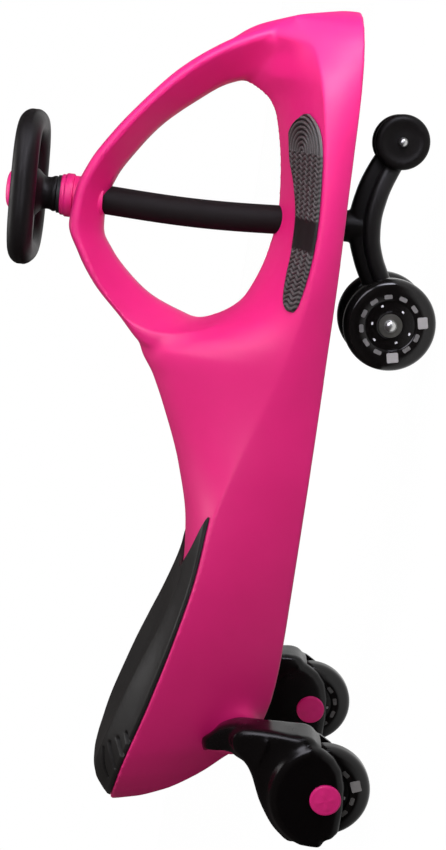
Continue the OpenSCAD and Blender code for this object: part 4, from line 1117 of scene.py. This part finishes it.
# The tyre's side from its bore to its shoulder: radius, then depth below the side face
TYRE_SIDE = [
    (11.3, 1.4), (12.6, 1.1), (13.2, 2.6), (22.8, 2.6), (23.6, 0.6), (24.6, 0.1), (34, 0), (36, 0.3),
]
TREAD_STEPS = 12
CROWN = 3
WHEEL_TURN = {"front_left": 40, "front_right": 13, "rear_left": 76, "rear_right": 21}


def block(radius, turn, depth, width, reach):
    """A block with bevelled corners through a wheel, at a radius and a turn, that reaches to both sides."""
    c = min(BEVEL, depth / 4, width / 4)
    outline = [
        (-depth / 2 + c, -width / 2), (depth / 2 - c, -width / 2), (depth / 2, -width / 2 + c),
        (depth / 2, width / 2 - c), (depth / 2 - c, width / 2), (-depth / 2 + c, width / 2),
        (-depth / 2, width / 2 - c), (-depth / 2, -width / 2 + c),
    ]
    mesh = loft([[(radius + x, y, z) for x, y in outline] for z in (-reach, reach)])
    return moved(mesh, turned(turn))


def tyre_profile():
    """The closed section of a tyre, with a round shoulder on each side of a low crown."""
    side = [(r, WHEEL_HALF - d) for r, d in TYRE_SIDE]
    shoulder_r, shoulder_z = side[-1]
    for i in range(1, TREAD_STEPS + 1):
        turn = math.radians(90 * i / TREAD_STEPS)
        r = shoulder_r + (WHEEL_D / 2 - shoulder_r) * math.sin(turn)
        side.append((r, shoulder_z - (WHEEL_HALF - CROWN) * (1 - math.cos(turn))))
    return side + [(r, -z) for r, z in reversed(side)] + [side[0]]


for end, x, track in (("front", FRONT_X, FRONT_Y), ("rear", REAR_X, REAR_Y)):
    for side, word in SIDES:
        at = on_wheel(x, side * track, AXLE_Z, side) @ turned(WHEEL_TURN[f"{end}_{word}"])
        rider = f"{end}_wheel_{word}"
        fins = [moved(block(FIN_R, 360 * i / FINS, *FIN, WHEEL_HALF - FIN_SINK), at) for i in range(FINS)]
        tyre = add(f"{end}_clear_tyre_{word}", joined(lathe(tyre_profile(), 128, at), *fins), 30)
        finish_piece(tyre, TYRE, rider, "tyre_clear", f"{end}_tyre_{word}")
        lugs = [lathe(LUG_RING, 96, at)]
        bright = []
        for i in range(WINDOWS):
            turn = 360 * i / WINDOWS
            if i in BIG_WINDOWS:
                bright.append(moved(block(BIG_WINDOW_R, turn, *BIG_WINDOW, WHEEL_HALF + WINDOW_PROUD), at))
            else:
                lugs.append(moved(block(WINDOW_R, turn, *WINDOW, WHEEL_HALF + WINDOW_PROUD), at))
        hub = add(f"{end}_hub_lugs_{word}", joined(*lugs), 30)
        finish_piece(hub, SMOKY, rider, "hub_white", f"{end}_hub_{word}")
        finish_piece(add(f"{end}_hub_windows_{word}", joined(*bright), 30), WHITE, rider, "hub_white")
        chips = []
        for i, spin in enumerate(CHIP_TURNS):
            radius = CHIP_R - (i % 2) * CHIP_SHIFT
            chips.append(moved(block(radius, spin, *CHIP, WHEEL_HALF - CHIP_SINK), at))
        board = add(f"{end}_light_chips_{word}", joined(*chips), 30)
        finish_piece(board, LIGHT, rider, "lights_white", f"{end}_lights_{word}")

# Finishes of the CAD nodes that stay
NODE_FINISH = {
    "underside_pan": NYLON, "pan_screws": STEEL, "seat_screws": STEEL, "fork_bolts": STEEL,
    "upper_bush": NYLON, "lower_bush": NYLON, "steering_column": STEEL, "column_top_nut": STEEL,
    "column_bottom_nut": STEEL, "steering_cap": CAP_PAINTED_LIGHT, "thrust_washer": ACETAL, "front_nut": STEEL,
    "front_spacers": STEEL, "front_magnet_left": MAGNET, "front_magnet_right": MAGNET,
    "roller_nut": STEEL,
}
for side in ("left", "right"):
    NODE_FINISH.update({
        f"rear_axle_{side}": STEEL, f"rear_nut_{side}": STEEL, f"rear_spacers_{side}": STEEL,
        f"rear_magnet_{side}": MAGNET, f"front_bearings_{side}": BEARING, f"rear_bearings_{side}": BEARING,
    })
for name, material in NODE_FINISH.items():
    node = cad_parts[name]
    node.data.materials.clear()
    node.data.materials.append(material)

# Camera, fitted to the photograph: the car lies along the picture's height, nose up
RIGHT = Vector((0.1448, -0.0059, -0.9894))
UP = Vector((0.9727, 0.1842, 0.1412))
AHEAD = Vector((-0.1815, 0.9829, -0.0324))
CAMERA_AT = Vector((281.8, -1551.7, 231.6)) * MM
SENSOR_W = 36
FOCAL_LENGTH = 69.75
FAR_CLIP = 100
lens = bpy.data.cameras.new("camera")
lens.sensor_width = SENSOR_W
lens.lens = FOCAL_LENGTH
lens.clip_end = FAR_CLIP
camera = bpy.data.objects.new("camera", lens)
turn = Matrix((RIGHT, UP, -AHEAD)).transposed()
camera.matrix_world = Matrix.Translation(CAMERA_AT) @ turn.to_4x4()
scene.collection.objects.link(camera)
scene.camera = camera

# Floor and backdrop: white to the camera, and a plain pale room to everything else
FLOOR_HALF = 6.0
FLOOR_ROUGH = 0.9
FLOOR_SCALE = 3
FLOOR_DARK = (0.34, 0.34, 0.34)
FLOOR_LIGHT = (0.36, 0.36, 0.36)
GLOW = 1.03
GLOW_SHARE = 0.96
SHEEN = 0.85
# The floor's sheen starts beyond the car and fades out behind its tail, in metres
SHEEN_X = (-0.42, -0.30)
SHEEN_Y = (-0.30, -0.12)
HAZE_LOW = (0.44, 0.40, 0.385)
HAZE_HIGH = (0.47, 0.44, 0.43)
HAZE_TOP = 0.9
GLEAM = 0.12


def axes(nodes, links, kind):
    """The X, Y and Z of a texture coordinate."""
    coord = nodes.new("ShaderNodeTexCoord")
    split = nodes.new("ShaderNodeSeparateXYZ")
    links.new(coord.outputs[kind], split.inputs["Vector"])
    return split.outputs


def either(nodes, links, share, first, second):
    """A shader that goes from the first to the second with a share."""
    node = nodes.new("ShaderNodeMixShader")
    links.new(share, node.inputs["Fac"])
    links.new(first, node.inputs[1])
    links.new(second, node.inputs[2])
    return node.outputs["Shader"]


floor_data = bpy.data.meshes.new("floor")
corners = [(-1, -1), (1, -1), (1, 1), (-1, 1)]
floor_data.from_pydata([(x * FLOOR_HALF, y * FLOOR_HALF, 0) for x, y in corners], [], [(0, 1, 2, 3)])
floor = bpy.data.objects.new("floor", floor_data)
scene.collection.objects.link(floor)
pale, nodes, links, shader = node_material("pale floor")
shader.inputs["Roughness"].default_value = FLOOR_ROUGH
tint = ramp(nodes, links, noise(nodes, links, FLOOR_SCALE, 4), FLOOR_DARK, FLOOR_LIGHT)
links.new(tint, shader.inputs["Base Color"])
glow = nodes.new("ShaderNodeEmission")
glow.inputs["Color"].default_value = (1, 1, 1, 1)
glow.inputs["Strength"].default_value = GLOW
sheen = nodes.new("ShaderNodeEmission")
place = axes(nodes, links, "Object")
links.new(span(nodes, links, place["X"], 0, 1, *SHEEN_X), sheen.inputs["Color"])
links.new(span(nodes, links, place["Y"], 0, SHEEN, *SHEEN_Y), sheen.inputs["Strength"])
path = nodes.new("ShaderNodeLightPath")
share = nodes.new("ShaderNodeMath")
share.operation = "MULTIPLY"
share.inputs[1].default_value = GLOW_SHARE
links.new(path.outputs["Is Camera Ray"], share.inputs[0])
seen = either(nodes, links, share.outputs["Value"], shader.outputs["BSDF"], glow.outputs["Emission"])
surface = either(nodes, links, path.outputs["Is Glossy Ray"], seen, sheen.outputs["Emission"])
links.new(surface, nodes["Material Output"].inputs["Surface"])
floor_data.materials.append(pale)

world = bpy.data.worlds.new("studio")
scene.world = world
world.use_nodes = True
nodes, links = world.node_tree.nodes, world.node_tree.links
nodes.clear()
backdrop = nodes.new("ShaderNodeBackground")
backdrop.inputs["Color"].default_value = (1, 1, 1, 1)
haze = ramp(nodes, links, axes(nodes, links, "Generated")["Z"], HAZE_LOW, HAZE_HIGH, 0, HAZE_TOP)
ambient = nodes.new("ShaderNodeBackground")
links.new(haze, ambient.inputs["Color"])
gleam = nodes.new("ShaderNodeBackground")
gleam.inputs["Strength"].default_value = GLEAM
links.new(haze, gleam.inputs["Color"])
path = nodes.new("ShaderNodeLightPath")
bounce = either(nodes, links, path.outputs["Is Glossy Ray"], ambient.outputs["Background"],
                gleam.outputs["Background"])
room = either(nodes, links, path.outputs["Is Camera Ray"], bounce, backdrop.outputs["Background"])
out = nodes.new("ShaderNodeOutputWorld")
links.new(room, out.inputs["Surface"])


# Lights, in metres and watts
def area_light(name, place, target, size, power, colour, spread=180, gleams=True):
    """A round lamp that looks at a target. One that doesn't gleam isn't mirrored by any surface."""
    data = bpy.data.lights.new(name, "AREA")
    data.shape = "DISK"
    data.size = size
    data.energy = power
    data.color = colour
    data.spread = math.radians(spread)
    obj = bpy.data.objects.new(name, data)
    obj.location = place
    obj.visible_glossy = gleams
    obj.rotation_mode = "QUATERNION"
    obj.rotation_quaternion = (Vector(target) - Vector(place)).to_track_quat("-Z", "Y")
    scene.collection.objects.link(obj)


area_light("key", (0.5, -0.9, 0.6), (0.1, 0, 0.2), size=0.6, power=4.8, colour=(1, 0.98, 1.1))
area_light("top", (1.0, -0.6, 1.0), (0.1, 0, 0.2), size=0.8, power=4.0, colour=(1, 0.98, 1.08))
area_light("nose", (0.75, -0.45, 0.12), (0.37, -0.06, 0.15), size=0.4, power=0.72, colour=(1, 1, 1.15),
           spread=60)
area_light("overhead", (0.05, 0.3, 1.5), (-0.1, 0, 0.2), size=0.7, power=4.5, colour=(1, 1, 1))
area_light("far side", (-0.05, 1.2, 0.24), (0, 0, 0.2), size=0.8, power=7.0, colour=(1, 0.98, 1.1),
           gleams=False)

scene.view_settings.view_transform = "Standard"
scene.view_settings.look = "None"
